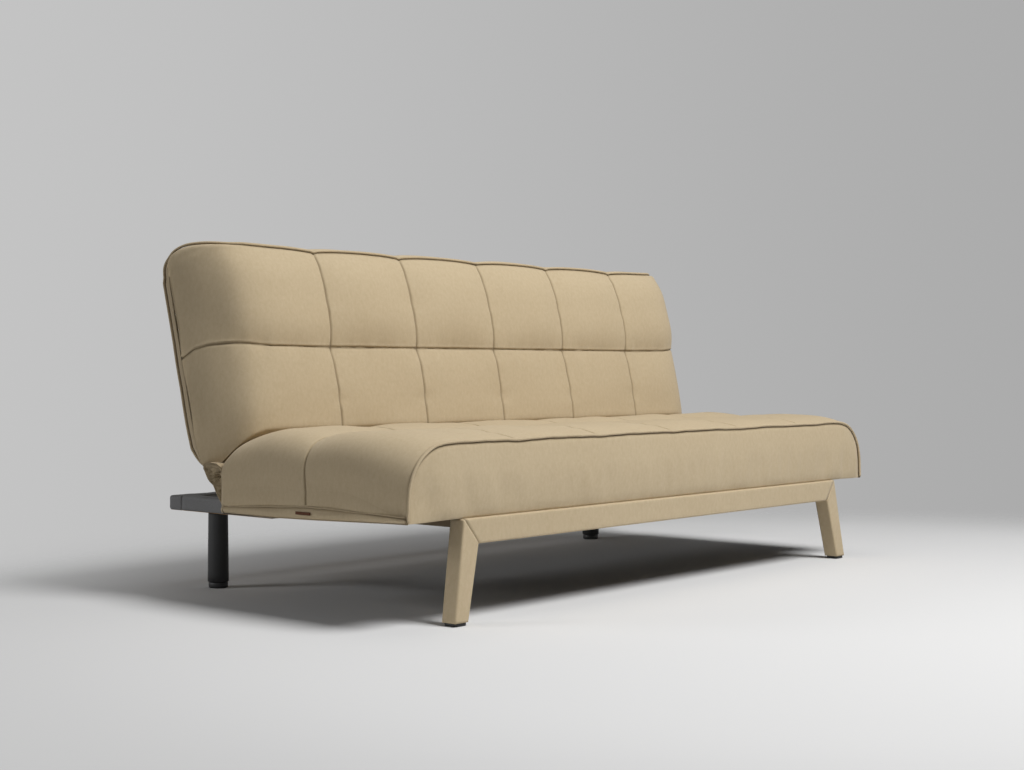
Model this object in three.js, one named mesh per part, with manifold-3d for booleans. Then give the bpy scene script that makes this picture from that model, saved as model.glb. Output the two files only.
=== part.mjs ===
// Click clack sofa bed: a seat and a back cushion that share one pivot line over a fixed base.
// Millimetres. X runs along the sofa, -Y is the front, +Z is up, the floor is Z = 0.
import * as THREE from 'three';
import { mergeVertices } from 'three/addons/utils/BufferGeometryUtils.js';
import Module from 'manifold-3d';

const manifoldLibrary = await Module();
manifoldLibrary.setup();

// Clearances shared by every piece
const fitGap = 0.3;
const cutOverrun = 30;
const clothWall = 3;

// Widths that the others follow, and the seat's front edge
const seatHalfWidth = 905;
const seatFront = -470;
const columnCount = 6;
const endColumnWidth = 329;
const columnPitch = ((seatHalfWidth - endColumnWidth) * 2) / (columnCount - 2);

// The base frame
const baseTop = 216;
const baseInset = 150;
const baseHalfWidth = seatHalfWidth - baseInset;
const baseRear = 490;
const railDepth = 40;
const railHeight = 54;
const railProud = 9;
const railFront = seatFront - railProud;
const feltRailHeight = 36;
const feltRailWidth = 50;
const feltWall = 4;
const feltArmLength = 330;
const slatHeight = 26;
const slatWidth = 40;
const slatInset = 55;
const crossRailWidth = 45;
const crossRailDrop = 8;
const frontCrossY = -150;

// The splayed front legs
const legInset = 4.5;
const legTopWidth = 42.5;
const legSplay = 38;
const legTopOuterX = baseHalfWidth - legInset;
const legTopInnerX = legTopOuterX - legTopWidth;
const legFootOuterX = legTopOuterX + legSplay;
const legFootWidth = 41;
const legForwardLean = 11;
const glideHeight = 7;
const glideInset = 3;

// The round rear legs
const rearLegSideInset = 35;
const rearLegRearInset = 145;
const rearLegX = baseHalfWidth - rearLegSideInset;
const rearLegY = baseRear - rearLegRearInset;
const rearLegRadius = 25;
const rearLegTopRadius = 23;
const footHeight = 14;
const footRadius = 23;
const footLip = 2;

// The pivot line that the seat and the back share
const pivotHeight = 84;
const pivotY = 155;
const pivotZ = baseTop + pivotHeight;
const backLean = 14;

// The seat cushion
const seatSetback = 33;
const seatRear = pivotY - seatSetback;
const seatBottom = baseTop + fitGap;
const seatEdgeHeight = 158;
const seatCrown = 18;
const seatFrontRow = 307;
const seatRowSeamY = seatFront + seatFrontRow;
const seatShoulder = 100;
const seatFrontBulge = 9;
const seatEndHeight = 50;

// The back cushion, in its own upright frame: Y is its depth, Z its height, both from the pivot
const backOverhang = 3;
const backHalfWidth = seatHalfWidth + backOverhang;
const backRear = 82;
const backFront = -106;
const backAnchorY = -10;
const backTop = 488;
const backUpperRow = 236;
const backRowSeamZ = backTop - backUpperRow;
const backCrown = 27;
const backShoulder = 105;
const backTopCorner = 20;
const backTopCrown = 15;
const backRearCorner = 75;

// Piping
const pipingRadius = 3;
const pipingSides = 6;

// Wooden frames and padding inside the cushions
const seatEndWall = 12;
const seatCavityHalfWidth = seatHalfWidth - seatEndWall;
const seatRailHeight = 40;
const seatRailWidth = 25;
const seatFrontWall = 8;
const seatRearWall = 4;
const seatTopWall = 20;
const seatFoamRoundHeight = 70;
const seatFoamRoundDepth = 75;
const dustClothThickness = 1.2;
const deckThickness = 6;
const backEndWall = 63;
const backCavityHalfWidth = backHalfWidth - backEndWall;
const backRailDepth = 42;
const backRailWidth = 40;
const backFrameBottom = 62;
const backFrontWall = 20;
const backPanelThickness = 3;
const backChamferTop = 92;
const backChamferBottom = 54;

// The click clack mechanism
const bracketInset = 175;
const bracketX = seatHalfWidth - bracketInset;
const plateThickness = 5;
const plateSpacing = 0.8;
const eyeRadius = 16;
const pivotBoltRadius = 6;
const boltHeadRadius = 10;
const boltHeadHeight = 5;
const bracketFootHeight = 4;
const bracketFootWidth = 44;
const bracketFootFront = -25;
const bracketFootRear = 45;
const pawlPinY = -10;
const pawlPinZ = -50;
const pawlPinRadius = 3;
const pawlEyeRadius = 7;
const pawlNoseWidth = 5;
const pawlLength = 23;
const ratchetRadius = 24;
const ratchetToothDepth = 3;
const ratchetToothCount = 7;
const springWire = 1.6;
const springLength = 5;
const seatFlangeWidth = 36;
const seatFlangeHeight = 34;
const backFlangeWidth = 38;
const bayHalfWidth = 18;
const bayHeight = 58;

// The gathered cloth between the cushions, in folds
const gatherDepth = 63;
const gatherHeight = 78;
const gatherFoldDepth = 7;
const gatherEndFold = 9;
const gatherMiddleFold = 24;

// The tab in the seat's side seam
const tagLength = 46;
const tagHeight = 8;
const tagThickness = 1.4;
const tagY = -172;

const finishes = {
  cloth: { color: 0xc0ac8a, roughness: 0.95, metalness: 0 },
  felt: { color: 0x4a4a4b, roughness: 0.98, metalness: 0 },
  wood: { color: 0xb08d5e, roughness: 0.8, metalness: 0 },
  foam: { color: 0xe3d9b4, roughness: 0.95, metalness: 0 },
  blackPlastic: { color: 0x1c1c1d, roughness: 0.5, metalness: 0 },
  steel: { color: 0x8c8f92, roughness: 0.4, metalness: 0.9 },
  dustCloth: { color: 0x2b2b2c, roughness: 0.95, metalness: 0 },
  tag: { color: 0x4a2f22, roughness: 0.9, metalness: 0 },
};

const sideNames = [[-1, 'left'], [1, 'right']];

function toSolid(geometry) {
  const bare = geometry.clone();
  bare.deleteAttribute('normal');
  bare.deleteAttribute('uv');
  const merged = mergeVertices(bare, 1e-4);
  const mesh = new manifoldLibrary.Mesh({
    numProp: 3,
    vertProperties: new Float32Array(merged.attributes.position.array),
    triVerts: new Uint32Array(merged.index.array),
  });
  return new manifoldLibrary.Manifold(mesh);
}

function toGeometry(solid) {
  const mesh = solid.getMesh();
  const geometry = new THREE.BufferGeometry();
  const points = new Float32Array(mesh.vertProperties);
  geometry.setAttribute('position', new THREE.BufferAttribute(points, 3));
  geometry.setIndex(new THREE.BufferAttribute(new Uint32Array(mesh.triVerts), 1));
  geometry.computeVertexNormals();
  return geometry;
}

function subtract(geometry, ...tools) {
  return toGeometry(tools.reduce((solid, tool) => solid.subtract(toSolid(tool)), toSolid(geometry)));
}

function join(geometry, ...others) {
  return toGeometry(others.reduce((solid, other) => solid.add(toSolid(other)), toSolid(geometry)));
}

function intersect(geometry, other) {
  return toGeometry(toSolid(geometry).intersect(toSolid(other)));
}

// A box between two corners, given in either order along X
function block(xs, ys, zs) {
  const [x0, x1] = [Math.min(...xs), Math.max(...xs)];
  const geometry = new THREE.BoxGeometry(x1 - x0, ys[1] - ys[0], zs[1] - zs[0]);
  return geometry.translate((x0 + x1) / 2, (ys[0] + ys[1]) / 2, (zs[0] + zs[1]) / 2);
}

// A prism along X from an outline of [y, z] points
function prismAlongX(outline, xs, holes = []) {
  const [x0, x1] = [Math.min(...xs), Math.max(...xs)];
  const shape = new THREE.Shape(outline.map(([y, z]) => new THREE.Vector2(y, z)));
  holes.forEach((hole) => shape.holes.push(hole));
  const depth = x1 - x0;
  const geometry = new THREE.ExtrudeGeometry(shape, { depth, bevelEnabled: false, curveSegments: 12 });
  const turn = new THREE.Matrix4().makeBasis(
    new THREE.Vector3(0, 1, 0),
    new THREE.Vector3(0, 0, 1),
    new THREE.Vector3(1, 0, 0),
  );
  return geometry.applyMatrix4(turn).translate(x0, 0, 0);
}

// A prism along Y from an outline of [x, z] points
function prismAlongY(outline, ys) {
  const shape = new THREE.Shape(outline.map(([x, z]) => new THREE.Vector2(x, z)));
  const geometry = new THREE.ExtrudeGeometry(shape, { depth: ys[1] - ys[0], bevelEnabled: false });
  return geometry.rotateX(Math.PI / 2).translate(0, ys[1], 0);
}

function rodAlongX(radius, xs, y, z, segments = 20) {
  const [x0, x1] = [Math.min(...xs), Math.max(...xs)];
  const geometry = new THREE.CylinderGeometry(radius, radius, x1 - x0, segments);
  return geometry.rotateZ(Math.PI / 2).translate((x0 + x1) / 2, y, z);
}

// Moves each edge of a convex outline inwards by its own distance
function insetOutline(outline, distances) {
  const area = THREE.ShapeUtils.area(outline.map(([a, b]) => new THREE.Vector2(a, b)));
  const turn = Math.sign(area);
  const edges = outline.map(([a, b], i) => {
    const [c, d] = outline[(i + 1) % outline.length];
    const length = Math.hypot(c - a, d - b);
    const normal = [(-(d - b) / length) * turn, ((c - a) / length) * turn];
    const distance = distances[i % distances.length];
    return { normal, offset: normal[0] * a + normal[1] * b + distance };
  });
  return outline.map((_, i) => {
    const before = edges[(i + outline.length - 1) % outline.length];
    const after = edges[i];
    const determinant = before.normal[0] * after.normal[1] - before.normal[1] * after.normal[0];
    const a = (before.offset * after.normal[1] - after.offset * before.normal[1]) / determinant;
    const b = (after.offset * before.normal[0] - before.offset * after.normal[0]) / determinant;
    return [a, b];
  });
}

// A closed skin through rings of points that all have the same count
function loft(rings) {
  const count = rings[0].length;
  const positions = rings.flat(2);
  const indices = [];
  for (let i = 0; i < rings.length - 1; i++) {
    for (let j = 0; j < count; j++) {
      const a = i * count + j;
      const b = i * count + ((j + 1) % count);
      indices.push(a, b, b + count, a, b + count, a + count);
    }
  }
  [0, rings.length - 1].forEach((ringIndex) => {
    const ring = rings[ringIndex];
    const centre = [0, 1, 2].map((axis) => ring.reduce((sum, point) => sum + point[axis], 0) / count);
    const centreIndex = positions.length / 3;
    positions.push(...centre);
    for (let j = 0; j < count; j++) {
      const a = ringIndex * count + j;
      const b = ringIndex * count + ((j + 1) % count);
      indices.push(...(ringIndex === 0 ? [centreIndex, b, a] : [centreIndex, a, b]));
    }
  });
  const geometry = new THREE.BufferGeometry();
  geometry.setAttribute('position', new THREE.BufferAttribute(new Float32Array(positions), 3));
  geometry.setIndex(indices);
  return faceOutwards(geometry);
}

function faceOutwards(geometry) {
  const points = geometry.attributes.position.array;
  const index = geometry.index.array;
  const corner = (k) => new THREE.Vector3().fromArray(points, index[k] * 3);
  let volume = 0;
  for (let k = 0; k < index.length; k += 3) {
    volume += corner(k).dot(corner(k + 1).cross(corner(k + 2)));
  }
  if (volume < 0) {
    for (let k = 0; k < index.length; k += 3) {
      [index[k], index[k + 1]] = [index[k + 1], index[k]];
    }
  }
  return geometry;
}

// A round cord of piping through [x, y, z] points
function piping(points) {
  const stations = points.map((point) => new THREE.Vector3(...point));
  const path = new THREE.CatmullRomCurve3(stations, false, 'chordal');
  const section = new THREE.Shape();
  for (let i = 0; i < pipingSides; i++) {
    const angle = (i / pipingSides) * 2 * Math.PI;
    const corner = [pipingRadius * Math.cos(angle), pipingRadius * Math.sin(angle)];
    if (i === 0) section.moveTo(...corner);
    else section.lineTo(...corner);
  }
  const steps = points.length * 2;
  return new THREE.ExtrudeGeometry(section, { steps, extrudePath: path, bevelEnabled: false });
}

// Where the sewn channels stand along X, and the padding's swell between two of them
const outerSeamX = (columnPitch * (columnCount - 2)) / 2;

function swellAcross(x, halfWidth) {
  const beyond = Math.abs(x) > outerSeamX;
  const share = beyond
    ? (Math.abs(x) - outerSeamX) / (halfWidth - outerSeamX)
    : (((x + outerSeamX) / columnPitch) % 1 + 1) % 1;
  const swellPowerShare = 2.4;
  return 1 - Math.abs(2 * share - 1) ** swellPowerShare;
}

function swellAlong(value, start, end) {
  const share = THREE.MathUtils.clamp((value - start) / (end - start), 0, 1);
  const swellPowerShare = 2.6;
  return 1 - Math.abs(2 * share - 1) ** swellPowerShare;
}

// X places of a cushion's rings: a few in each column, closer round the end
function ringPlaces(halfWidth, shoulder) {
  const columnShares = [0, 0.12, 0.5, 0.88];
  const shoulderShares = [0, 0.25, 0.5, 0.7, 0.86, 0.96, 1];
  const places = [];
  for (let column = 0; column < columnCount - 2; column++) {
    columnShares.forEach((share) => places.push(-outerSeamX + (column + share) * columnPitch));
  }
  places.push(outerSeamX);
  const endLength = halfWidth - shoulder - outerSeamX;
  const endShares = [0.12, 0.55];
  const half = [
    ...endShares.map((share) => outerSeamX + share * endLength),
    ...shoulderShares.map((share) => halfWidth - shoulder + share * shoulder),
  ];
  return [...half.map((x) => -x).reverse(), ...places, ...half];
}

// 1 along the cushion, falling on a round to the given share at its end; a power of 2 gives a quarter circle
function shoulderFall(x, halfWidth, shoulder, endShare, powerShare) {
  const into = THREE.MathUtils.clamp((Math.abs(x) - (halfWidth - shoulder)) / shoulder, 0, 1);
  return endShare + (1 - endShare) * (1 - into ** powerShare) ** (1 / powerShare);
}

// The seat cushion's outer skin
function seatTopAt(x) {
  const endShare = seatEndHeight / seatEdgeHeight;
  const powerShare = 2.6;
  return seatBottom + seatEdgeHeight * shoulderFall(x, seatHalfWidth, seatShoulder, endShare, powerShare);
}

function seatRing(x) {
  const top = seatTopAt(x);
  const heightShare = (top - seatBottom) / seatEdgeHeight;
  const depth = seatRear - seatFront;
  const across = swellAcross(x, seatHalfWidth);
  const rearRoundShares = [[0, 0.48], [0, 0.68], [0.02, 0.81], [0.075, 0.955], [0.16, 1.04]];
  const rearRound = rearRoundShares.map(([back, up]) => [
    seatRear - back * depth,
    seatBottom + up * seatEdgeHeight * heightShare,
  ]);
  const rearRowShares = [0.35, 0.7, 0.92, 1];
  const frontRowShares = [0.08, 0.3, 0.6, 0.85, 0.96];
  const rowStart = seatRear - 0.16 * depth;
  const crownAt = (y) => {
    const rearRow = y > seatRowSeamY;
    const along = rearRow
      ? Math.max(swellAlong(y, seatRowSeamY, seatRear), 0)
      : swellAlong(y, seatFront, seatRowSeamY);
    return top + seatCrown * heightShare * along * (0.8 + 0.2 * across);
  };
  const topFace = [
    ...rearRowShares.map((share) => rowStart + share * (seatRowSeamY - rowStart)),
    ...frontRowShares.map((share) => seatRowSeamY + share * (seatFront - seatRowSeamY)),
  ].map((y) => [y, crownAt(y)]);
  const flatEndShare = 0.85;
  const into = Math.max(Math.abs(x) - (seatHalfWidth - seatShoulder), 0) / seatShoulder;
  const bulgeShare = Math.max(1 - (into / flatEndShare) ** 2, 0);
  const frontShares = [[0, 1], [0.05, 0.94], [0.6, 0.8], [1, 0.52], [0.75, 0.18], [0, 0]];
  const frontFace = frontShares.map(([bulge, up]) => [
    seatFront - bulge * seatFrontBulge * bulgeShare,
    seatBottom + up * (top - seatBottom),
  ]);
  return [[seatRear, seatBottom], ...rearRound, ...topFace, ...frontFace].map(([y, z]) => [x, y, z]);
}

// The back cushion's outer skin, in the back's own frame
function backTopAt(x) {
  const into = Math.max(Math.abs(x) - (backHalfWidth - backTopCorner), 0) / backTopCorner;
  return backTop - backTopCorner * (1 - Math.sqrt(1 - Math.min(into, 1) ** 2));
}

function backRing(x) {
  const endShare = 0.24;
  const fall = shoulderFall(x, backHalfWidth, backShoulder, endShare, 2);
  const into = Math.max(Math.abs(x) - (backHalfWidth - backRearCorner), 0) / backRearCorner;
  const rearAt = backRear - backRearCorner * (1 - Math.sqrt(1 - Math.min(into, 1) ** 2));
  const rearFall = (rearAt - backAnchorY) / (backRear - backAnchorY);
  const across = swellAcross(x, backHalfWidth);
  const top = backTopAt(x);
  const chamferShares = [
    [0.21, 0.07], [0.36, 0.12], [0.46, 0.16], [0.6, 0.19], [0.74, 0.21], [0.87, 0.23], [0.97, 0.26],
  ];
  const lowerFrontShare = 0.3;
  const lowerFront = lowerFrontShare * backRowSeamZ;
  const lower = chamferShares.map(([forward, up]) => [forward * backFront, up * backRowSeamZ]);
  const rearRoundShares = [[1, 0.72], [0.93, 0.6], [0.8, 0.44], [0.62, 0.25], [0.4, 0.13], [0.15, 0.09]];
  const rearRound = rearRoundShares.map(([back, up]) => [back * backRear, up * backRear]);
  const frontAt = (z) => {
    const lowerRow = z < backRowSeamZ;
    const along = lowerRow
      ? swellAlong(z, 0, backRowSeamZ) * 0.5
      : swellAlong(z, backRowSeamZ, backTop);
    const tuckIn = lowerRow ? 0.6 - 0.6 * z / backRowSeamZ : (z - backRowSeamZ) / (backTop - backRowSeamZ);
    return backFront * (1.08 - 0.08 * tuckIn) - backCrown * along * (0.62 + 0.38 * across);
  };
  const lowerRowShares = [0, 0.35, 0.68, 0.9, 1];
  const upperRowShares = [0.08, 0.3, 0.55, 0.78, 0.93, 1];
  const face = [
    ...lowerRowShares.map((share) => lowerFront + share * (backRowSeamZ - lowerFront)),
    ...upperRowShares.map((share) => backRowSeamZ + share * (backTop - backRowSeamZ)),
  ].map((z) => [frontAt(z), z]);
  const topFaceShares = [[0.7, 0.75], [0.1, 1], [-0.45, 0.7]];
  const topFace = topFaceShares.map(([forward, up]) => [backFront * forward, backTop + up * backTopCrown]);
  const outline = [...rearRound, ...lower, ...face, ...topFace, [backRear, backTop]];
  const topShare = (top - backRowSeamZ) / (backTop - backRowSeamZ);
  return outline.map(([y, z]) => {
    const lean = y > backAnchorY ? rearFall : fall;
    const height = z > backRowSeamZ ? backRowSeamZ + (z - backRowSeamZ) * topShare : z;
    return [x, backAnchorY + (y - backAnchorY) * lean, height];
  });
}

const meshes = [];

function makeMesh(name, geometry, finish) {
  const mesh = new THREE.Mesh(geometry, new THREE.MeshStandardMaterial(finishes[finish]));
  mesh.name = name;
  meshes.push(mesh);
  return mesh;
}

// A felt cover that is open below, and the rail inside it
function feltRail(name, xs, ys, openRear) {
  const zs = [baseTop - feltRailHeight, baseTop];
  const [x0, x1] = [Math.min(...xs), Math.max(...xs)];
  const rearWall = openRear ? -cutOverrun : feltWall;
  const hollow = block(
    [x0 + feltWall, x1 - feltWall],
    [ys[0] + feltWall, ys[1] - rearWall],
    [zs[0] - cutOverrun, zs[1] - feltWall],
  );
  const rearGap = openRear ? 0 : feltWall + fitGap;
  const core = block(
    [x0 + feltWall + fitGap, x1 - feltWall - fitGap],
    [ys[0] + feltWall + fitGap, ys[1] - rearGap],
    [zs[0], zs[1] - feltWall - fitGap],
  );
  return [
    makeMesh(`base_felt_${name}`, subtract(block(xs, ys, zs), hollow), 'felt'),
    makeMesh(`base_rail_${name}`, core, 'wood'),
  ];
}

function baseFrame() {
  const base = new THREE.Group();
  const rearFront = baseRear - feltRailWidth;
  const armFront = rearFront - feltArmLength;
  const armInner = baseHalfWidth - feltRailWidth;
  base.add(...feltRail('rear', [-baseHalfWidth, baseHalfWidth], [rearFront, baseRear], false));
  const slatZs = [baseTop - slatHeight, baseTop];
  const crossZs = [slatZs[0], baseTop - crossRailDrop];
  const slatOuter = baseHalfWidth - slatInset;
  const slatInner = slatOuter - slatWidth;
  const rearCrossFront = armFront + fitGap;
  const slatYs = [railFront + railDepth + fitGap, rearCrossFront - fitGap];
  sideNames.forEach(([side, name]) => {
    const armXs = [side * armInner, side * baseHalfWidth];
    base.add(...feltRail(name, armXs, [armFront, rearFront - fitGap], true));
    const slat = block([side * slatInner, side * slatOuter], slatYs, slatZs);
    base.add(makeMesh(`base_slat_${name}`, slat, 'wood'));
  });
  const crossRails = [
    ['front', slatInner - fitGap, frontCrossY - crossRailWidth / 2],
    ['rear', armInner - fitGap, rearCrossFront],
  ];
  crossRails.forEach(([name, half, front]) => {
    const rail = block([-half, half], [front, front + crossRailWidth], crossZs);
    base.add(makeMesh(`base_cross_${name}`, rail, 'wood'));
  });
  return base;
}

// The front rail and the two splayed legs meet on mitres that run from corner to corner
function frontRail() {
  const railBottom = baseTop - railHeight;
  const outline = [
    [-legTopOuterX, baseTop],
    [-legTopInnerX, railBottom],
    [legTopInnerX, railBottom],
    [legTopOuterX, baseTop],
  ];
  const outer = insetOutline(outline, [fitGap / 2, 0, fitGap / 2, 0]);
  const hollow = insetOutline(outline, [-cutOverrun, clothWall, -cutOverrun, clothWall]);
  const core = insetOutline(outline, [fitGap / 2, clothWall + fitGap, fitGap / 2, clothWall + fitGap]);
  const ys = [railFront, railFront + railDepth];
  const innerYs = [ys[0] + clothWall, ys[1] - clothWall];
  const coreYs = [innerYs[0] + fitGap, innerYs[1] - fitGap];
  const cover = subtract(prismAlongY(outer, ys), prismAlongY(hollow, innerYs));
  return [
    makeMesh('front_rail_cover', cover, 'cloth'),
    makeMesh('front_rail', prismAlongY(core, coreYs), 'wood'),
  ];
}

function leanForward(geometry) {
  const rise = legForwardLean / baseTop;
  const shear = new THREE.Matrix4().set(1, 0, 0, 0, 0, 1, rise, -rise * baseTop, 0, 0, 1, 0, 0, 0, 0, 1);
  return geometry.applyMatrix4(shear);
}

function frontLeg(side, name) {
  const railBottom = baseTop - railHeight;
  const legBottom = glideHeight + fitGap;
  const outline = [
    [legTopOuterX, baseTop],
    [legTopInnerX, railBottom],
    [legFootOuterX - legFootWidth, legBottom],
    [legFootOuterX, legBottom],
  ].map(([x, z]) => [side * x, z]);
  const outer = insetOutline(outline, [fitGap / 2, 0, 0, 0]);
  const hollow = insetOutline(outline, [-cutOverrun, clothWall, -cutOverrun, clothWall]);
  const core = insetOutline(outline, [fitGap / 2, clothWall + fitGap, 0, clothWall + fitGap]);
  const ys = [railFront, railFront + railDepth];
  const innerYs = [ys[0] + clothWall, ys[1] - clothWall];
  const coreYs = [innerYs[0] + fitGap, innerYs[1] - fitGap];
  const cover = subtract(prismAlongY(outer, ys), prismAlongY(hollow, innerYs));
  const footXs = [legFootOuterX - legFootWidth + glideInset, legFootOuterX - glideInset].map((x) => side * x);
  const footYs = [ys[0] - legForwardLean + glideInset, ys[1] - legForwardLean - glideInset];
  return [
    makeMesh(`front_leg_cover_${name}`, leanForward(cover), 'cloth'),
    makeMesh(`front_leg_${name}`, leanForward(prismAlongY(core, coreYs)), 'wood'),
    makeMesh(`front_glide_${name}`, block(footXs, footYs, [0, glideHeight]), 'blackPlastic'),
  ];
}

function rearLeg(side, name) {
  const legTop = baseTop - feltRailHeight - fitGap;
  const legBottom = footHeight + fitGap;
  const legPoints = [[0, legBottom], [rearLegRadius, legBottom], [rearLegTopRadius, legTop], [0, legTop]];
  const footPoints = [
    [0, 0],
    [footRadius - footLip, 0],
    [footRadius, footLip],
    [footRadius, footHeight],
    [0, footHeight],
  ];
  const turned = (points) => {
    const profile = points.map(([r, z]) => new THREE.Vector2(r, z));
    return new THREE.LatheGeometry(profile, 24).rotateX(Math.PI / 2);
  };
  const place = (geometry) => geometry.translate(side * rearLegX, rearLegY, 0);
  return [
    makeMesh(`rear_leg_${name}`, place(turned(legPoints)), 'blackPlastic'),
    makeMesh(`rear_foot_${name}`, place(turned(footPoints)), 'blackPlastic'),
  ];
}

// Plates of the mechanism stand side by side on the pivot bolt: seat arm, base bracket, back arm
const bracketInner = bracketX - plateThickness / 2;
const bracketOuter = bracketX + plateThickness / 2;
const seatArmXs = [bracketInner - plateSpacing - plateThickness, bracketInner - plateSpacing];
const backArmXs = [bracketOuter + plateSpacing, bracketOuter + plateSpacing + plateThickness];
const pivotHoleRadius = pivotBoltRadius + fitGap;
const pinHoleRadius = pawlPinRadius + fitGap;
const springXs = [backArmXs[1] + plateSpacing, backArmXs[1] + plateSpacing + springLength];

function roundHole(radius, y = 0, z = 0) {
  const hole = new THREE.Path();
  hole.absarc(y, z, radius, 0, 2 * Math.PI, true);
  return hole;
}

// Points of an arc about the pivot, in degrees from +Y towards +Z
function arcPoints(radius, fromDegrees, toDegrees, steps, y = 0, z = 0) {
  return Array.from({ length: steps + 1 }, (_, i) => {
    const angle = THREE.MathUtils.degToRad(fromDegrees + ((toDegrees - fromDegrees) * i) / steps);
    return [y + radius * Math.cos(angle), z + radius * Math.sin(angle)];
  });
}

function baseBracket(side, name) {
  const footBottom = baseTop + fitGap - pivotZ;
  const footTop = footBottom + bracketFootHeight;
  const outline = [
    [bracketFootRear, footBottom],
    [bracketFootRear, footTop],
    ...arcPoints(eyeRadius, 20, 180, 8),
    [bracketFootFront, footTop],
    [bracketFootFront, footBottom],
  ];
  const xs = [side * bracketInner, side * bracketOuter];
  const plate = prismAlongX(outline, xs, [roundHole(pivotHoleRadius)]);
  const footXs = [side * (bracketX - bracketFootWidth / 2), side * (bracketX + bracketFootWidth / 2)];
  const foot = block(footXs, [bracketFootFront, bracketFootRear], [footBottom, footTop]);
  const pinXs = [side * bracketX, side * springXs[1]];
  const pin = rodAlongX(pawlPinRadius, pinXs, pawlPinY, pawlPinZ);
  return makeMesh(`base_bracket_${name}`, join(plate, foot, pin), 'steel');
}

function pivotBolt(side, name) {
  const headStart = backArmXs[1] + plateSpacing;
  const headXs = [side * headStart, side * (headStart + boltHeadHeight)];
  const nutStart = seatArmXs[0] - plateSpacing;
  const nutXs = [side * nutStart, side * (nutStart - boltHeadHeight)];
  const shank = rodAlongX(pivotBoltRadius, [headXs[0], nutXs[1]], 0, 0);
  const head = rodAlongX(boltHeadRadius, headXs, 0, 0);
  const hexagon = arcPoints(boltHeadRadius, 0, 300, 5);
  const nut = prismAlongX(hexagon, nutXs, [roundHole(pivotHoleRadius)]);
  return [
    makeMesh(`pivot_bolt_${name}`, join(shank, head), 'steel'),
    makeMesh(`pivot_nut_${name}`, nut, 'steel'),
  ];
}

function pawl(side, name) {
  const outline = [
    ...arcPoints(pawlEyeRadius, 150, 390, 12),
    [pawlNoseWidth / 2, pawlLength],
    [-pawlNoseWidth / 2, pawlLength],
  ].map(([y, z]) => [y + pawlPinY, z + pawlPinZ]);
  const plateXs = [side * backArmXs[0], side * backArmXs[1]];
  const plate = prismAlongX(outline, plateXs, [roundHole(pinHoleRadius, pawlPinY, pawlPinZ)]);
  return makeMesh(`pawl_${name}`, plate, 'steel');
}

// The torsion spring's turns round the pawl pin, beside the pawl
function pawlSpring(side, name) {
  const ring = arcPoints(pinHoleRadius + springWire, 0, 345, 23, pawlPinY, pawlPinZ);
  const hole = roundHole(pinHoleRadius, pawlPinY, pawlPinZ);
  const coil = prismAlongX(ring, springXs.map((x) => side * x), [hole]);
  return makeMesh(`pawl_spring_${name}`, coil, 'steel');
}

function mechanism() {
  const group = new THREE.Group();
  sideNames.forEach(([side, name]) => {
    group.add(baseBracket(side, name), ...pivotBolt(side, name), pawl(side, name), pawlSpring(side, name));
  });
  group.position.set(0, pivotY, pivotZ);
  return group;
}

// The hollow inside the seat cover, moved inwards by a margin
const seatCavityRear = seatRear - seatRearWall;
const seatCavityFront = seatFront + seatFrontWall;
const seatCavityTop = seatBottom + seatEdgeHeight - seatTopWall;

function seatCavity(margin) {
  const bottom = seatBottom - cutOverrun;
  const knee = seatBottom + seatEndHeight - clothWall;
  const across = [
    [seatCavityHalfWidth, bottom],
    [seatCavityHalfWidth, knee],
    [seatHalfWidth - seatShoulder, seatCavityTop],
    [-(seatHalfWidth - seatShoulder), seatCavityTop],
    [-seatCavityHalfWidth, knee],
    [-seatCavityHalfWidth, bottom],
  ];
  const along = [
    [seatCavityFront, bottom],
    [seatCavityRear, bottom],
    [seatCavityRear, seatCavityTop - seatFoamRoundHeight],
    [seatCavityRear - seatFoamRoundDepth, seatCavityTop],
    [seatCavityFront, seatCavityTop],
  ];
  const fromFront = insetOutline(across, [margin, margin, margin, margin, margin, 0]);
  const fromSide = insetOutline(along, [0, margin, margin, margin, margin]);
  return intersect(
    prismAlongY(fromFront, [seatFront, seatRear]),
    prismAlongX(fromSide, [-seatHalfWidth, seatHalfWidth]),
  );
}

const seatFrameBottom = seatBottom + dustClothThickness + fitGap;
const seatFrameTop = seatFrameBottom + seatRailHeight;
const flangeFront = seatCavityRear - bracketFootHeight - fitGap * 2;

function seatFrame() {
  const zs = [seatFrameBottom, seatFrameTop];
  const half = seatCavityHalfWidth - fitGap;
  const front = seatCavityFront + fitGap;
  const rear = flangeFront - fitGap;
  const wide = [-half, half];
  const between = [front + seatRailWidth + fitGap, rear - seatRailWidth - fitGap];
  const pieces = [
    makeMesh('seat_rail_front', block(wide, [front, front + seatRailWidth], zs), 'wood'),
    makeMesh('seat_rail_rear', block(wide, [rear - seatRailWidth, rear], zs), 'wood'),
  ];
  sideNames.forEach(([side, name]) => {
    const xs = [side * (half - seatRailWidth), side * half];
    pieces.push(makeMesh(`seat_rail_${name}`, block(xs, between, zs), 'wood'));
  });
  const deckZs = [seatFrameTop + fitGap, seatFrameTop + fitGap + deckThickness];
  const deckHalf = half - fitGap * 2;
  pieces.push(makeMesh('seat_deck', block([-deckHalf, deckHalf], [front, rear], deckZs), 'wood'));
  return pieces;
}

function seatPadding() {
  const foamBottom = seatFrameTop + deckThickness + fitGap * 2;
  const clothZs = [seatBottom, seatBottom + dustClothThickness];
  const half = seatCavityHalfWidth - fitGap;
  const clothYs = [seatCavityFront + fitGap, flangeFront - fitGap];
  const aboveZs = [foamBottom, seatCavityTop + cutOverrun];
  const above = block([-seatHalfWidth, seatHalfWidth], [seatFront, seatRear], aboveZs);
  return [
    makeMesh('seat_foam', intersect(seatCavity(fitGap), above), 'foam'),
    makeMesh('seat_dust_cloth', block([-half, half], clothYs, clothZs), 'dustCloth'),
  ];
}

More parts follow.
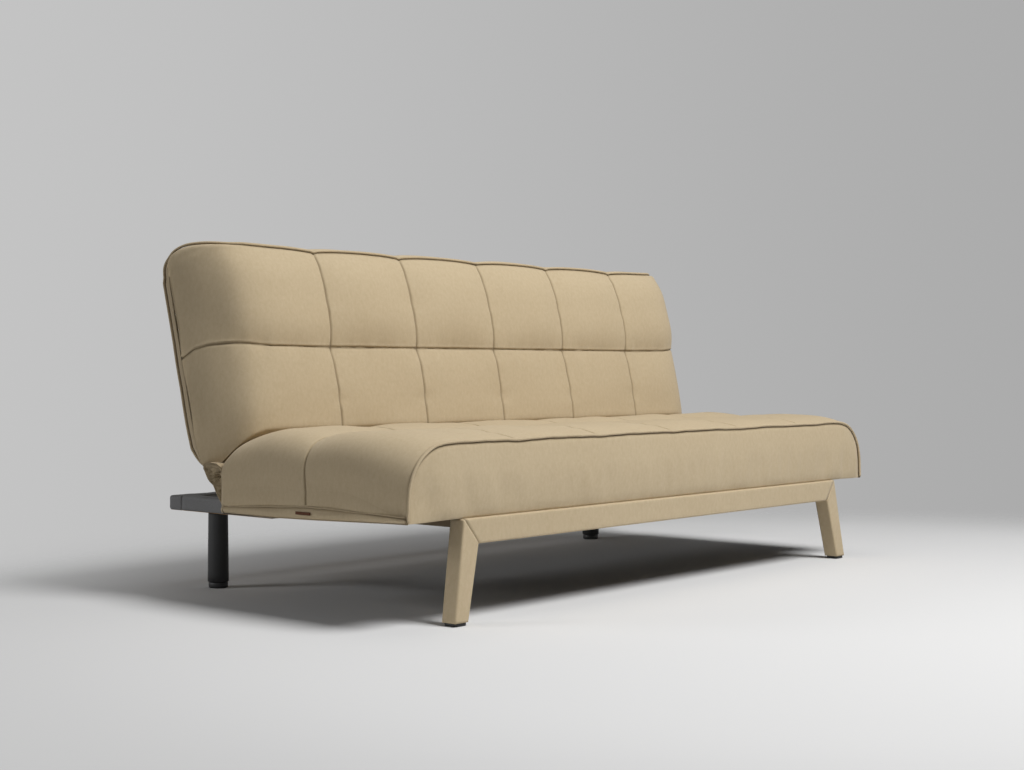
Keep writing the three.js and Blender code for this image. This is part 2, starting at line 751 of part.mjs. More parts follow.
function seatCover() {
  const skin = loft(ringPlaces(seatHalfWidth, seatShoulder).map(seatRing));
  const slotTop = seatFrameBottom + seatFlangeHeight + clothWall * 3;
  const slots = sideNames.map(([side]) => block(
    [side * (seatArmXs[0] - plateSpacing), side * (seatArmXs[1] + plateSpacing)],
    [seatCavityRear - seatRearWall, seatRear + cutOverrun],
    [seatBottom - cutOverrun, slotTop],
  ));
  return makeMesh('seat_cover', subtract(skin, seatCavity(0), ...slots), 'cloth');
}

function seatPiping() {
  const stand = pipingRadius + fitGap * 2;
  const y = seatFront - stand;
  const lowest = seatBottom + pipingRadius * 2;
  const sideX = seatHalfWidth - pipingRadius;
  const places = ringPlaces(seatHalfWidth, seatShoulder).filter((x) => Math.abs(x) < sideX);
  const side = (sign) => [
    [sign * sideX, y, lowest],
    [sign * sideX, y, seatBottom + seatEndHeight / 2],
  ];
  const points = [...side(-1), ...places.map((x) => [x, y, seatTopAt(x)]), ...side(1).reverse()];
  return makeMesh('seat_piping', piping(points), 'cloth');
}

function seatTag() {
  const x = -(seatHalfWidth + fitGap);
  const zs = [seatBottom + tagHeight / 2, seatBottom + tagHeight * 1.5];
  const ys = [tagY - tagLength / 2, tagY + tagLength / 2];
  return makeMesh('seat_tag', block([x - tagThickness, x], ys, zs), 'tag');
}

function seatArm(side, name) {
  const low = seatFrameBottom - pivotZ;
  const high = low + seatFlangeHeight;
  const flangeYs = [flangeFront - pivotY, flangeFront - pivotY + bracketFootHeight];
  const outline = [
    ...arcPoints(eyeRadius, -60, 180, 10),
    [seatRear - pivotY + clothWall, high + clothWall],
    [flangeYs[0], high],
    [flangeYs[0], low],
  ];
  const plateXs = seatArmXs.map((x) => side * x);
  const plate = prismAlongX(outline, plateXs, [roundHole(pivotHoleRadius)]);
  const flangeXs = [side * (seatArmXs[1] - seatFlangeWidth), side * seatArmXs[1]];
  const flange = block(flangeXs, flangeYs, [low, high]);
  const arm = join(plate, flange).translate(0, pivotY, pivotZ);
  return makeMesh(`seat_arm_${name}`, arm, 'steel');
}

function seat() {
  const group = new THREE.Group();
  group.add(...seatFrame(), ...seatPadding(), seatCover(), seatPiping(), seatTag());
  sideNames.forEach(([side, name]) => group.add(seatArm(side, name)));
  return group;
}

// The hollow inside the back cover, open behind for the rear panel
const backCavityTop = backTop - clothWall * 4;
const backCavityFront = backFront + backFrontWall;

function backCavity(margin, rear) {
  const narrow = backHalfWidth - backShoulder;
  const across = [
    [backCavityHalfWidth, 0],
    [backCavityHalfWidth, backCavityTop - backTopCorner],
    [narrow, backCavityTop],
    [-narrow, backCavityTop],
    [-backCavityHalfWidth, backCavityTop - backTopCorner],
    [-backCavityHalfWidth, 0],
  ];
  const along = [
    [rear, backFrameBottom - margin - fitGap],
    [rear, backCavityTop],
    [backCavityFront, backCavityTop],
    [backCavityFront, backChamferTop],
    [-backChamferBottom / 2, backChamferBottom],
    [backRear - clothWall * 4, backChamferBottom],
  ];
  const wide = insetOutline(across, [margin, margin, margin, margin, margin, 0]);
  const deep = insetOutline(along, [0, margin, margin, margin, margin, margin]);
  const reach = [backFront - cutOverrun, backRear + cutOverrun];
  const body = prismAlongX(deep, [-backHalfWidth, backHalfWidth]);
  return intersect(prismAlongY(wide, reach), body);
}

const backFrameRear = backRear - backPanelThickness - fitGap;
const backFrameFront = backFrameRear - backRailDepth;
const backFrameTop = backCavityTop - fitGap;

function backFrame() {
  const ys = [backFrameFront, backFrameRear];
  const half = backCavityHalfWidth - fitGap;
  const topHalf = backHalfWidth - backShoulder;
  const between = [backFrameBottom + backRailWidth + fitGap, backFrameTop - backTopCorner - fitGap];
  const bottomZs = [backFrameBottom, backFrameBottom + backRailWidth];
  const topZs = [backFrameTop - backRailWidth, backFrameTop];
  const pieces = [
    makeMesh('back_rail_bottom', block([-half, half], ys, bottomZs), 'wood'),
    makeMesh('back_rail_top', block([-topHalf, topHalf], ys, topZs), 'wood'),
  ];
  sideNames.forEach(([side, name]) => {
    const xs = [side * (half - backRailWidth), side * half];
    pieces.push(makeMesh(`back_rail_${name}`, block(xs, ys, between), 'wood'));
  });
  const deckYs = [backFrameFront - fitGap - deckThickness, backFrameFront - fitGap];
  const deckZs = [backFrameBottom, backFrameTop - backTopCorner];
  pieces.push(makeMesh('back_deck', block([-half, half], deckYs, deckZs), 'wood'));
  return pieces;
}

function backPadding() {
  const foamRear = backFrameFront - deckThickness - fitGap * 2;
  const panelYs = [backRear - backPanelThickness, backRear];
  const panel = intersect(
    backCavity(fitGap, backRear + cutOverrun),
    block([-backHalfWidth, backHalfWidth], panelYs, [0, backTop]),
  );
  const foam = intersect(
    backCavity(fitGap, backRear),
    block([-backHalfWidth, backHalfWidth], [backFront, foamRear], [backFrameBottom, backTop]),
  );
  return [
    makeMesh('back_foam', foam, 'foam'),
    makeMesh('back_panel', panel, 'cloth'),
  ];
}

function backCover() {
  const skin = loft(ringPlaces(backHalfWidth, backShoulder).map(backRing));
  const bays = sideNames.map(([side]) => block(
    [side * (bracketX - bayHalfWidth), side * (bracketX + bayHalfWidth)],
    [-eyeRadius * 2, backRear + cutOverrun],
    [-cutOverrun, bayHeight],
  ));
  return makeMesh('back_cover', subtract(skin, backCavity(0, backRear + cutOverrun), ...bays), 'cloth');
}

// The piping climbs the rear edges, crosses each end's top and follows the front top edge
function backPiping() {
  const stand = pipingRadius + fitGap * 3;
  const seamAngle = THREE.MathUtils.degToRad(38);
  const reach = backRearCorner + stand;
  const rearX = backHalfWidth - backRearCorner + reach * Math.cos(seamAngle);
  const rearY = backRear - backRearCorner + reach * Math.sin(seamAngle);
  const topFaceCount = 3;
  const frontEdge = -(topFaceCount + 2);
  const above = (x, vertex, outShare, forwardShare, upShare) => {
    const [, y, z] = backRing(x).at(vertex);
    return [x + Math.sign(x) * outShare * stand, y - forwardShare * stand, z + upShare * stand];
  };
  const rimX = backHalfWidth - backTopCorner;
  const overCorner = (sign) => [
    [sign * rearX, rearY, backRear],
    [sign * rearX, rearY, backRowSeamZ],
    [sign * rearX, rearY, backTop - backTopCorner * 2],
    above(sign * rimX, -1, 0.5, -0.7, 0.7),
    above(sign * rimX, -2, 0.5, 0, 1.1),
    above(sign * rimX, -3, 0.5, 0, 1.1),
    above(sign * rimX, -4, 0.5, 0.3, 1.1),
  ];
  const places = ringPlaces(backHalfWidth, backShoulder);
  const front = places.filter((x) => Math.abs(x) < rimX - backTopCorner / 2);
  const points = [
    ...overCorner(-1),
    ...front.map((x) => above(x, frontEdge, 0, 0.9, 0.6)),
    ...overCorner(1).reverse(),
  ];
  return makeMesh('back_piping', piping(points), 'cloth');
}

function backArm(side, name) {
  const flangeTop = backFrameBottom - fitGap;
  const flangeBottom = flangeTop - bracketFootHeight;
  const flangeYs = [backFrameFront, backFrameRear - bracketFootHeight * 3];
  const toothStart = 190;
  const toothPitch = 130 / ratchetToothCount;
  const teeth = Array.from({ length: ratchetToothCount }, (_, i) => {
    const start = toothStart + i * toothPitch;
    const root = start + toothPitch * 0.9;
    return [
      ...arcPoints(ratchetRadius, start, start + toothPitch * 0.1, 1),
      arcPoints(ratchetRadius - ratchetToothDepth, root, root, 1)[0],
    ];
  }).flat();
  const outline = [
    ...teeth,
    [flangeYs[1], flangeBottom],
    [flangeYs[1], flangeTop],
    [flangeYs[0], flangeTop],
    ...arcPoints(eyeRadius, 90, 180, 6),
  ];
  const plateXs = backArmXs.map((x) => side * x);
  const plate = prismAlongX(outline, plateXs, [roundHole(pivotHoleRadius)]);
  const flangeXs = [side * backArmXs[0], side * (backArmXs[0] + backFlangeWidth)];
  const flange = block(flangeXs, flangeYs, [flangeBottom, flangeTop]);
  return makeMesh(`back_arm_${name}`, join(plate, flange), 'steel');
}

function back() {
  const group = new THREE.Group();
  group.add(...backFrame(), ...backPadding(), backCover(), backPiping());
  sideNames.forEach(([side, name]) => group.add(backArm(side, name)));
  group.position.set(0, pivotY, pivotZ);
  group.rotation.x = -THREE.MathUtils.degToRad(backLean);
  return group;
}

// Cloth gathered between the seat's rear and the back's lower end, in small upright folds
function gatherPiece(name, xs, foldPitch) {
  const outerShares = [[0, 1], [0.17, 0.86], [0.43, 0.67], [0.68, 0.46], [0.87, 0.26], [1, 0.03]];
  const innerShares = [[0.65, 0.01], [0.27, 0.01], [0, 0.05]];
  const place = ([rear, down]) => [rear * gatherDepth - seatSetback + fitGap, -down * gatherHeight];
  const outline = [...outerShares, ...innerShares].map(place);
  const middle = place([0.33, 0.26]);
  const steps = Math.round((xs[1] - xs[0]) / foldPitch);
  const rings = Array.from({ length: steps + 1 }, (_, i) => {
    const x = xs[0] + ((xs[1] - xs[0]) * i) / steps;
    const swing = i % 2 ? -gatherFoldDepth : 0;
    return outline.map(([y, z], j) => {
      const reach = Math.hypot(y - middle[0], z - middle[1]);
      const fold = j > 0 && j < outerShares.length ? swing / reach : 0;
      return [x, pivotY + y + (y - middle[0]) * fold, pivotZ + z + (z - middle[1]) * fold];
    });
  });
  return makeMesh(name, loft(rings), 'cloth');
}

function gathers() {
  const inner = bracketX - bayHalfWidth - plateThickness;
  const outer = bracketX + bayHalfWidth + plateThickness;
  const end = seatCavityHalfWidth - clothWall;
  return [
    gatherPiece('gather_left', [-end, -outer], gatherEndFold),
    gatherPiece('gather_middle', [-inner, inner], gatherMiddleFold),
    gatherPiece('gather_right', [outer, end], gatherEndFold),
  ];
}

const sofa = new THREE.Group();
sofa.add(baseFrame(), ...frontRail(), mechanism(), seat(), back(), ...gathers());
sideNames.forEach(([side, name]) => sofa.add(...frontLeg(side, name), ...rearLeg(side, name)));

export default sofa;
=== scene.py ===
import math

import bpy
import numpy as np
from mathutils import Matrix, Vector
from mathutils.kdtree import KDTree


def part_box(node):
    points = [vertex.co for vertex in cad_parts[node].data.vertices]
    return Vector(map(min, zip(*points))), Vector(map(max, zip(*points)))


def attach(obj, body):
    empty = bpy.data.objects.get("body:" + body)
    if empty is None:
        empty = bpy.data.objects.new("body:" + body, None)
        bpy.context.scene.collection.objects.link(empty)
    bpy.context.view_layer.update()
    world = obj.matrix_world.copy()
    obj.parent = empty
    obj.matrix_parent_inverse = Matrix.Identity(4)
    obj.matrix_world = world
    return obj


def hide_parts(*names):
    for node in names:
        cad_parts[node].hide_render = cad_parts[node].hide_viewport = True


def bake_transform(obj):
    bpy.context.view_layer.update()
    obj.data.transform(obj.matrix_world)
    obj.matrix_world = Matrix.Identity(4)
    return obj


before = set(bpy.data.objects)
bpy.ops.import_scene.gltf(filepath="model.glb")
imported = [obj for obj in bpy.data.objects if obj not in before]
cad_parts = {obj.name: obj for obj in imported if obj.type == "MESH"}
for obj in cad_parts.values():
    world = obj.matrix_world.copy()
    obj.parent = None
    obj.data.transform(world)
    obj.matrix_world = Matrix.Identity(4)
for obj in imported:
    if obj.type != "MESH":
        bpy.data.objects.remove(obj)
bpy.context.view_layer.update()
shown = bpy.context.scene


# small tools


def srgb(red, green, blue):  # 0-255 screen values to Blender's linear colour
    values = [c / 255 for c in (red, green, blue)]
    return [c / 12.92 if c <= 0.04045 else ((c + 0.055) / 1.055) ** 2.4 for c in values] + [1]


def meshPiece(name, points, faces, smooth=True):
    mesh = bpy.data.meshes.new(name)
    mesh.from_pydata([tuple(p) for p in points], [], faces)
    mesh.validate()
    mesh.update()
    mesh.shade_smooth() if smooth else mesh.shade_flat()
    piece = bpy.data.objects.new(name, mesh)
    shown.collection.objects.link(piece)
    return piece


def gridFaces(rows, columns, wrapColumns=True, wrapRows=False, offset=0, flip=False):
    faces = []
    for i in range(rows if wrapRows else rows - 1):
        k = (i + 1) % rows
        for j in range(columns if wrapColumns else columns - 1):
            n = (j + 1) % columns
            face = [i * columns + j, i * columns + n, k * columns + n, k * columns + j]
            faces.append([offset + v for v in (reversed(face) if flip else face)])
    return faces


def loft(name, rings, smooth=True):  # closed rings in a row, with a flat cap at each end
    rings = np.asarray(rings, float)
    rows, columns = rings.shape[:2]
    points = rings.reshape(-1, 3)
    faces = gridFaces(rows, columns)
    faces.append(list(reversed(range(columns))))
    faces.append([(rows - 1) * columns + j for j in range(columns)])
    return faceOutwards(meshPiece(name, points, faces, smooth))


def sleeve(name, outer, inner):  # a tube with a wall, open at both ends
    outer, inner = np.asarray(outer, float), np.asarray(inner, float)
    rows, columns = outer.shape[:2]
    points = np.concatenate([outer.reshape(-1, 3), inner.reshape(-1, 3)])
    shift = rows * columns
    faces = gridFaces(rows, columns) + gridFaces(rows, columns, offset=shift, flip=True)
    for row, turned in ((0, True), (rows - 1, False)):
        for j in range(columns):
            a, b = row * columns + j, row * columns + (j + 1) % columns
            face = [a, b, b + shift, a + shift]
            faces.append(list(reversed(face)) if turned else face)
    return faceOutwards(meshPiece(name, points, faces))


def faceOutwards(piece):
    mesh = piece.data
    mesh.calc_loop_triangles()
    points = vertexArray(mesh)
    corners = np.array([t.vertices[:] for t in mesh.loop_triangles])
    a, b, c = (points[corners[:, k]] for k in range(3))
    if np.einsum("ij,ij->i", a, np.cross(b, c)).sum() < 0:
        mesh.flip_normals()
    return piece


def vertexArray(mesh):
    points = np.empty(len(mesh.vertices) * 3)
    mesh.vertices.foreach_get("co", points)
    return points.reshape(-1, 3)


def softCurve(points, perSegment=6):  # a smooth line through points, with the given steps between two
    points = [np.asarray(p, float) for p in points]
    line = []
    for i in range(len(points) - 1):
        before = points[i - 1] if i else 2 * points[0] - points[1]
        after = points[i + 2] if i + 2 < len(points) else 2 * points[-1] - points[-2]
        a, b = points[i], points[i + 1]
        for k in range(perSegment):
            t = k / perSegment
            line.append(
                0.5 * (2 * a + (b - before) * t + (2 * before - 5 * a + 4 * b - after) * t**2
                       + (3 * a - before - 3 * b + after) * t**3)
            )
    line.append(points[-1])
    return np.array(line)


def cordAlong(name, path, radius, sides=12):  # a round cord, carried along a path without a twist
    path = np.asarray(path, float)
    tangents = np.gradient(path, axis=0)
    tangents /= np.linalg.norm(tangents, axis=1)[:, None]
    side = np.cross(tangents[0], [0.02, 0.03, 1.0])
    if np.linalg.norm(side) < 0.1:
        side = np.cross(tangents[0], [1.0, 0.1, 0.0])
    rings = []
    for point, tangent in zip(path, tangents):
        side = side - tangent * side.dot(tangent)
        side /= np.linalg.norm(side)
        other = np.cross(tangent, side)
        angles = np.arange(sides) * 2 * math.pi / sides
        rings.append(point + radius * (np.outer(np.cos(angles), side) + np.outer(np.sin(angles), other)))
    return loft(name, rings)


def unevenness(points, wavelength, seed, waves=14, stretch=(1, 1, 1)):  # smooth seeded noise, about -1 to 1
    dice = np.random.default_rng(seed)
    total = np.zeros(len(points))
    for _ in range(waves):
        direction = dice.normal(size=3)
        direction /= np.linalg.norm(direction)
        length = wavelength * dice.uniform(0.65, 1.5)
        phase = dice.uniform(0, 2 * math.pi)
        total += np.sin(points @ (direction * np.array(stretch)) * 2 * math.pi / length + phase)
    return total * math.sqrt(2 / waves) / 1.6


def hump(distance, width):  # 1 on a line, falling smoothly to 0 beside it
    return np.exp(-((distance / width) ** 2))


def cutAway(piece, low, high):  # takes a block out of a piece
    points = [[(low, high)[i >> k & 1][k] for k in range(3)] for i in range(8)]
    faces = [[0, 2, 3, 1], [4, 5, 7, 6], [0, 1, 5, 4], [2, 6, 7, 3], [0, 4, 6, 2], [1, 3, 7, 5]]
    cutWith(piece, meshPiece(piece.name + "_block", points, faces, smooth=False))


def cutWith(piece, block):
    cut = piece.modifiers.new("cut", "BOOLEAN")
    cut.operation, cut.object, cut.solver = "DIFFERENCE", block, "MANIFOLD"
    ready = piece.evaluated_get(bpy.context.evaluated_depsgraph_get())
    mesh = bpy.data.meshes.new_from_object(ready)
    piece.modifiers.clear()
    piece.data = mesh
    mesh.shade_smooth()
    bpy.data.objects.remove(block)


# materials


class Wire:  # a shader socket that takes part in Python sums
    def __init__(self, graph, socket):
        self.graph, self.socket = graph, socket

    def sum(self, operation, left, right):
        return self.graph.node("ShaderNodeMath", {"operation": operation}, {0: left, 1: right})

    def __add__(self, other):
        return self.sum("ADD", self, other)

    def __sub__(self, other):
        return self.sum("SUBTRACT", self, other)

    def __rsub__(self, other):
        return self.sum("SUBTRACT", other, self)

    def __mul__(self, other):
        return self.sum("MULTIPLY", self, other)

    __radd__ = __add__
    __rmul__ = __mul__


class Graph:  # the nodes of one material or world
    def __init__(self, owner):
        owner.use_nodes = True
        self.owner, self.nodes = owner, owner.node_tree.nodes
        self.nodes.clear()

    def node(self, kind, settings=None, inputs=None, output=0):
        made = self.nodes.new(kind)
        for key, value in (settings or {}).items():
            setattr(made, key, value)
        for key, value in (inputs or {}).items():
            if isinstance(value, Wire):
                self.owner.node_tree.links.new(value.socket, made.inputs[key])
            else:
                made.inputs[key].default_value = value
        return Wire(self, made.outputs[output]) if made.outputs else made

    def place(self, stretch=(1, 1, 1)):
        coordinates = self.node("ShaderNodeTexCoord", output="Object")
        return self.node("ShaderNodeMapping", inputs={"Vector": coordinates, "Scale": stretch})

    def noise(self, scale, detail=3, stretch=(1, 1, 1), roughness=0.5):
        inputs = {"Vector": self.place(stretch), "Scale": scale, "Detail": detail, "Roughness": roughness}
        return self.node("ShaderNodeTexNoise", inputs=inputs)

    def mix(self, share, first, second):
        return self.node("ShaderNodeMix", {"data_type": "RGBA"}, {0: share, 6: first, 7: second}, output=2)

    def finish(self, **inputs):
        named = {key.replace("_", " "): value for key, value in inputs.items()}
        shader = self.node("ShaderNodeBsdfPrincipled", inputs=named)
        self.node("ShaderNodeOutputMaterial", inputs={"Surface": shader})
        return self.owner

    def bump(self, height, strength, distance):
        return self.node("ShaderNodeBump", inputs={"Height": height, "Strength": strength, "Distance": distance})


def makeFabric(name, light, dark, values):  # a plain weave with a faint melange; painted shade darkens seam grooves, tuft pits, piping gaps and gather folds by a mesh value
    graph = Graph(bpy.data.materials.new(name))
    seam = graph.node("ShaderNodeAttribute", {"attribute_name": "seam"}, output="Fac")
    warp = graph.noise(values["threads"], 2, (1, 0.16, 0.16))
    weft = graph.noise(values["threads"], 2, (0.16, 1, 1))
    cloud = graph.noise(values["cloud"], 2)
    yarn = (warp + weft) * 0.5
    slub = graph.noise(values["slub"], 4, (1, 1, 0.6), 0.7)
    share = yarn * values["melange"] + cloud * values["cloudShare"] + (slub - 0.5) * values["slubShare"]
    tint = graph.mix(share, light, dark)
    # painted shade: the mesh value 'seam' mixes the cloth towards a shade colour in grooves, pits and folds
    colour = graph.mix(seam * values["paintedShadeStrength"], tint, values["paintedShadeColour"])
    normal = graph.bump(yarn, values["bump"], values["bumpDepth"])
    return graph.finish(
        Base_Color=colour, Roughness=values["roughness"], Normal=normal,
        Sheen_Weight=values["sheen"], Sheen_Roughness=0.5, Specular_IOR_Level=0.25,
    )


def makePlain(name, colour, second, scale, roughness, bump=0.1, bumpDepth=0.0005, metal=0.0, stretch=(1, 1, 1)):
    graph = Graph(bpy.data.materials.new(name))
    grain = graph.noise(scale, 4, stretch)
    return graph.finish(
        Base_Color=graph.mix(grain, colour, second),
        Roughness=roughness[0] + (roughness[1] - roughness[0]) * grain,
        Metallic=metal,
        Normal=graph.bump(grain, bump, bumpDepth),
    )


finishes = {
    "cloth": makeFabric("sofa_cloth", srgb(200, 183, 153), srgb(182, 163, 131), {
        "threads": 1900, "cloud": 7, "melange": 0.75, "cloudShare": 0.3, "slub": 130, "slubShare": 1.1,
        # the shade strength and shade colour below paint shade into seam grooves, tuft pits, piping gaps and gather
        # folds
        "paintedShadeStrength": 0.78, "paintedShadeColour": srgb(96, 80, 56), "bump": 0.35, "bumpDepth": 0.0006,
        "roughness": 0.92, "sheen": 0.12,
    }),
    "felt": makePlain("grey_felt", srgb(112, 112, 113), srgb(146, 146, 147), 420, (0.9, 1.0), 0.5, 0.0012),
    "wood": makePlain("plain_wood", srgb(190, 152, 104), srgb(164, 124, 78), 36, (0.6, 0.8), 0.15, 0.0006, 0,
                      (0.12, 1, 1)),
    "stainedWood": makePlain("stained_wood", srgb(140, 123, 97), srgb(120, 104, 80), 36, (0.7, 0.85), 0.15, 0.0006,
                             0, (1, 0.12, 1)),
    "foam": makePlain("padding_foam", srgb(231, 222, 190), srgb(216, 203, 166), 300, (0.9, 1.0), 0.5, 0.001),
    "blackLeg": makePlain("black_leg", srgb(24, 24, 25), srgb(32, 32, 33), 500, (0.45, 0.6), 0.12, 0.0003),
    "blackPlastic": makePlain("black_plastic", srgb(22, 22, 23), srgb(30, 30, 31), 700, (0.4, 0.55), 0.1, 0.0002),
    "steel": makePlain("zinc_steel", srgb(150, 153, 156), srgb(118, 121, 124), 160, (0.32, 0.5), 0.08, 0.0002, 0.9),
    "dustCloth": makePlain("dust_cloth", srgb(34, 34, 35), srgb(48, 48, 49), 900, (0.9, 1.0), 0.3, 0.0004),
    "tag": makePlain("woven_tag", srgb(108, 62, 32), srgb(62, 36, 22), 1200, (0.8, 0.95), 0.3, 0.0003),
}


def dress(piece, finish):
    piece.data.materials.clear()
    piece.data.materials.append(finishes[finish])
    return piece


def settle(piece, finish, body, slot, *nodes):  # finish, body, slot (not used) and the nodes that a piece stands for
    dress(piece, finish)
    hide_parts(*nodes)
    if body:
        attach(piece, body)
    return piece


# shapes that both cushions share

columns = {"pitch": 0.288, "outer": 0.576, "seams": [-0.576, -0.288, 0.0, 0.288, 0.576]}
fineSteps = [0.0012, 0.0026, 0.0044, 0.0068, 0.0100, 0.0140]


def swellAcross(x, halfWidth):
    x = np.asarray(x, float)
    inside = ((x + columns["outer"]) / columns["pitch"]) % 1
    outside = np.clip((np.abs(x) - columns["outer"]) / (halfWidth - columns["outer"]), 0, 1)
    share = np.where(np.abs(x) > columns["outer"], outside, inside)
    return 1 - np.abs(2 * share - 1) ** 2.4


def swellAlong(value, start, end):
    share = np.clip((value - start) / (end - start), 0, 1)
    return 1 - np.abs(2 * share - 1) ** 2.6


def places(start, end, step, fineAt):  # even steps, with closer ones beside each seam
    count = max(int(round(abs(end - start) / step)), 1)
    values = list(np.linspace(start, end, count + 1))
    for seam in fineAt:
        near = [seam] + [seam + side * s for s in fineSteps for side in (-1, 1)]
        near = [v for v in near if min(start, end) < v < max(start, end)]
        values = [v for v in values if abs(v - seam) > fineSteps[-1] + step * 0.3 or v in (start, end)] + near
    return np.array(sorted(set(np.round(values, 6)), reverse=start > end))


def endStations(halfWidth, shoulder, endShare, capSteps, bulge):  # (x, fall) from the flat length to the end's middle
    stations = []
    power = 2 / 2.6
    for angle in np.linspace(0, math.pi / 2, 23)[1:]:
        out, left = math.sin(angle) ** power, max(math.cos(angle), 0) ** power
        stations.append((halfWidth - shoulder + shoulder * out, endShare + (1 - endShare) * left))
    for share in np.linspace(0, 1, capSteps + 1)[1:]:
        stations.append((halfWidth + bulge * math.sin(share * math.pi), endShare * (1 - share)))
    return stations


def surfaceNormals(grid):
    along = np.gradient(grid, axis=0)
    closed = np.concatenate([grid[:, -1:], grid, grid[:, :1]], axis=1)
    around = (closed[:, 2:] - closed[:, :-2]) / 2
    normals = np.cross(around, along)
    lengths = np.linalg.norm(normals, axis=2, keepdims=True)
    return normals / np.maximum(lengths, 1e-9)


# stores painted shade in the mesh value 'seam', which darkens the cloth
def paintShade(piece, values):
    layer = piece.data.attributes.new("seam", "FLOAT", "POINT")
    layer.data.foreach_set("value", np.clip(values, 0, 1).astype(np.float32))


def puckers(along, distance, reach, wavelength, seed):  # short folds that run off a seam line
    line = np.stack([along, np.zeros_like(along), np.zeros_like(along)], axis=1)
    ripple = unevenness(line, wavelength, seed, 10)
    return ripple * np.exp(-np.abs(distance) / reach)


# the seam and knot shares set the painted shade in the quilting's grooves and tuft pits
quilt = {"edgeReach": 0.010, "ridgePlace": 0.0046, "ridgeWidth": 0.0028, "knotShadeWidth": 0.0055,
         "paintedSeamShade": 0.62, "paintedKnotShade": 0.38}


def sections(outlineAt, stations):  # a ring of points at each station, and where the outline's parts end
    rings = []
    for station in stations:
        outline, marks = outlineAt(*station)
        rings.append(np.column_stack([np.full(len(outline), station[0]), outline]))
    return np.array(rings), marks


def seamDistances(grid, marks, edge):  # from the row seam, the nearest column seam and the piped edge
    arc = np.cumsum(np.linalg.norm(np.diff(grid, axis=1, prepend=grid[:, :1]), axis=2), axis=1)
    fromRow, fromEdge = ((arc - arc[:, mark:mark + 1]).ravel() for mark in (marks["seam"], marks[edge]))
    x = grid[:, :, 0].ravel()
    return fromRow, np.min([np.abs(x - s) for s in columns["seams"]], axis=0), fromEdge


def quilted(values, x, along, distances, rowArea, face, puckered):  # lift, painted shade masks for the seam grooves and tuft knots, fade at the edge
    fromRow, fromColumn, fromEdge = distances
    edgeFade = 1 - hump(fromEdge, quilt["edgeReach"])
    rowMask = hump(fromRow, values["seamWidth"]) * rowArea
    columnMask = hump(fromColumn, values["seamWidth"]) * face
    fromCrossing = np.hypot(fromColumn, fromRow)
    height = values["puckerHeight"]
    lift = -values["seamDepth"] * np.maximum(rowMask * values["rowShare"], columnMask)
    lift += values["seamRidge"] * hump(fromRow - quilt["ridgePlace"], quilt["ridgeWidth"]) * face
    lift -= values["tuftDepth"] * (hump(fromCrossing, values["tuftWidth"]) * face)
    lift += height * puckers(x, fromRow, *values["rowPucker"]) * (1 - rowMask) * puckered
    lift += height * puckers(along, fromColumn, *values["columnPucker"]) * (1 - columnMask) * puckered * edgeFade
    knotShade = hump(fromCrossing, quilt["knotShadeWidth"]) * face
    return lift, np.maximum(rowMask, columnMask * edgeFade), knotShade, edgeFade


def paintQuiltShade(cushion, seams, knotShade):
    # painted shade along the seam grooves and in the tuft pits
    paintShade(cushion, quilt["paintedSeamShade"] * seams + quilt["paintedKnotShade"] * knotShade)


piping = {"radius": 0.0031, "stand": 0.0017, "outset": 0.0012,
          "groove": 0.0020, "grooveWidth": 0.0075, "shadeWidth": 0.0032}


def sewAlong(cushion, path):  # draws a cushion in beside its piping, and paints shade into the seam there
    mesh = cushion.data
    tree = KDTree(len(path))
    for i, place in enumerate(path):
        tree.insert(place, i)
    tree.balance()
    normals = np.empty(len(mesh.vertices) * 3)
    mesh.vertices.foreach_get("normal", normals)
    points = vertexArray(mesh)
    distances = np.array([tree.find(p)[2] for p in points])
    points -= piping["groove"] * hump(distances, piping["grooveWidth"])[:, None] * normals.reshape(-1, 3)
    mesh.vertices.foreach_set("co", points.ravel())
    layer = mesh.attributes["seam"].data
    marks = np.empty(len(points))
    layer.foreach_get("value", marks)
    # painted shade in the gap beside the cord
    beside = hump(distances - piping["radius"], piping["shadeWidth"])
    layer.foreach_set("value", np.maximum(marks, beside).astype(np.float32))
    mesh.update()


def makePiping(cushion, path, body):
    sewAlong(cushion, softCurve(path, 3))
    cord = cordAlong(body + "_piping_cord", path, piping["radius"])
    settle(cord, "cloth", body, "cloth", body + "_piping")
    print(body, "piping made")


# The seat: one long cushion with six columns and two rows
seat = {
    "halfWidth": 0.905, "front": -0.470, "rear": 0.122, "bottom": 0.2163, "edgeHeight": 0.158,
    "crown": 0.018, "rowSeam": -0.163, "shoulder": 0.100, "endShare": 0.316, "power": 2.6, "frontBulge": 0.009,
    "ringStep": 0.009, "capSteps": 26, "capBulge": 0.003, "rearCorner": 0.030,
    "roundReach": 0.20, "frontRound": (0.147, 0.10, 2.6), "rearRound": (0.100, 0.316, 3.0),
    "rearProfile": [(0, 0.0), (0, 0.24), (0, 0.48), (0, 0.68), (0.024, 0.79), (0.075, 0.925), (0.16, 1.03)],
    "frontProfile": [(0, 1), (0.25, 0.95), (0.6, 0.8), (1, 0.52), (0.75, 0.18), (0.3, 0.04), (0, 0)],
    "seamDepth": 0.0030, "rowShare": 1, "seamRidge": 0, "seamWidth": 0.0026,
    "tuftDepth": 0.0085, "tuftWidth": 0.020,
    "puckerHeight": 0.0013, "rowPucker": (0.022, 0.034, 3), "columnPucker": (0.018, 0.040, 5),
    "slump": 0.0016, "dragHeight": 0.0024, "pipeFlat": 0.802,
    "sagYs": [-0.469, -0.34, -0.19, -0.03, 0.122], "sags": [0.0012, 0.0051, 0.0089, 0.0119, 0.0119],
    "hemYs": [-0.469, -0.36, -0.186, 0.073, 0.122], "hems": [0.2268, 0.2300, 0.2329, 0.2203, 0.2195],
}
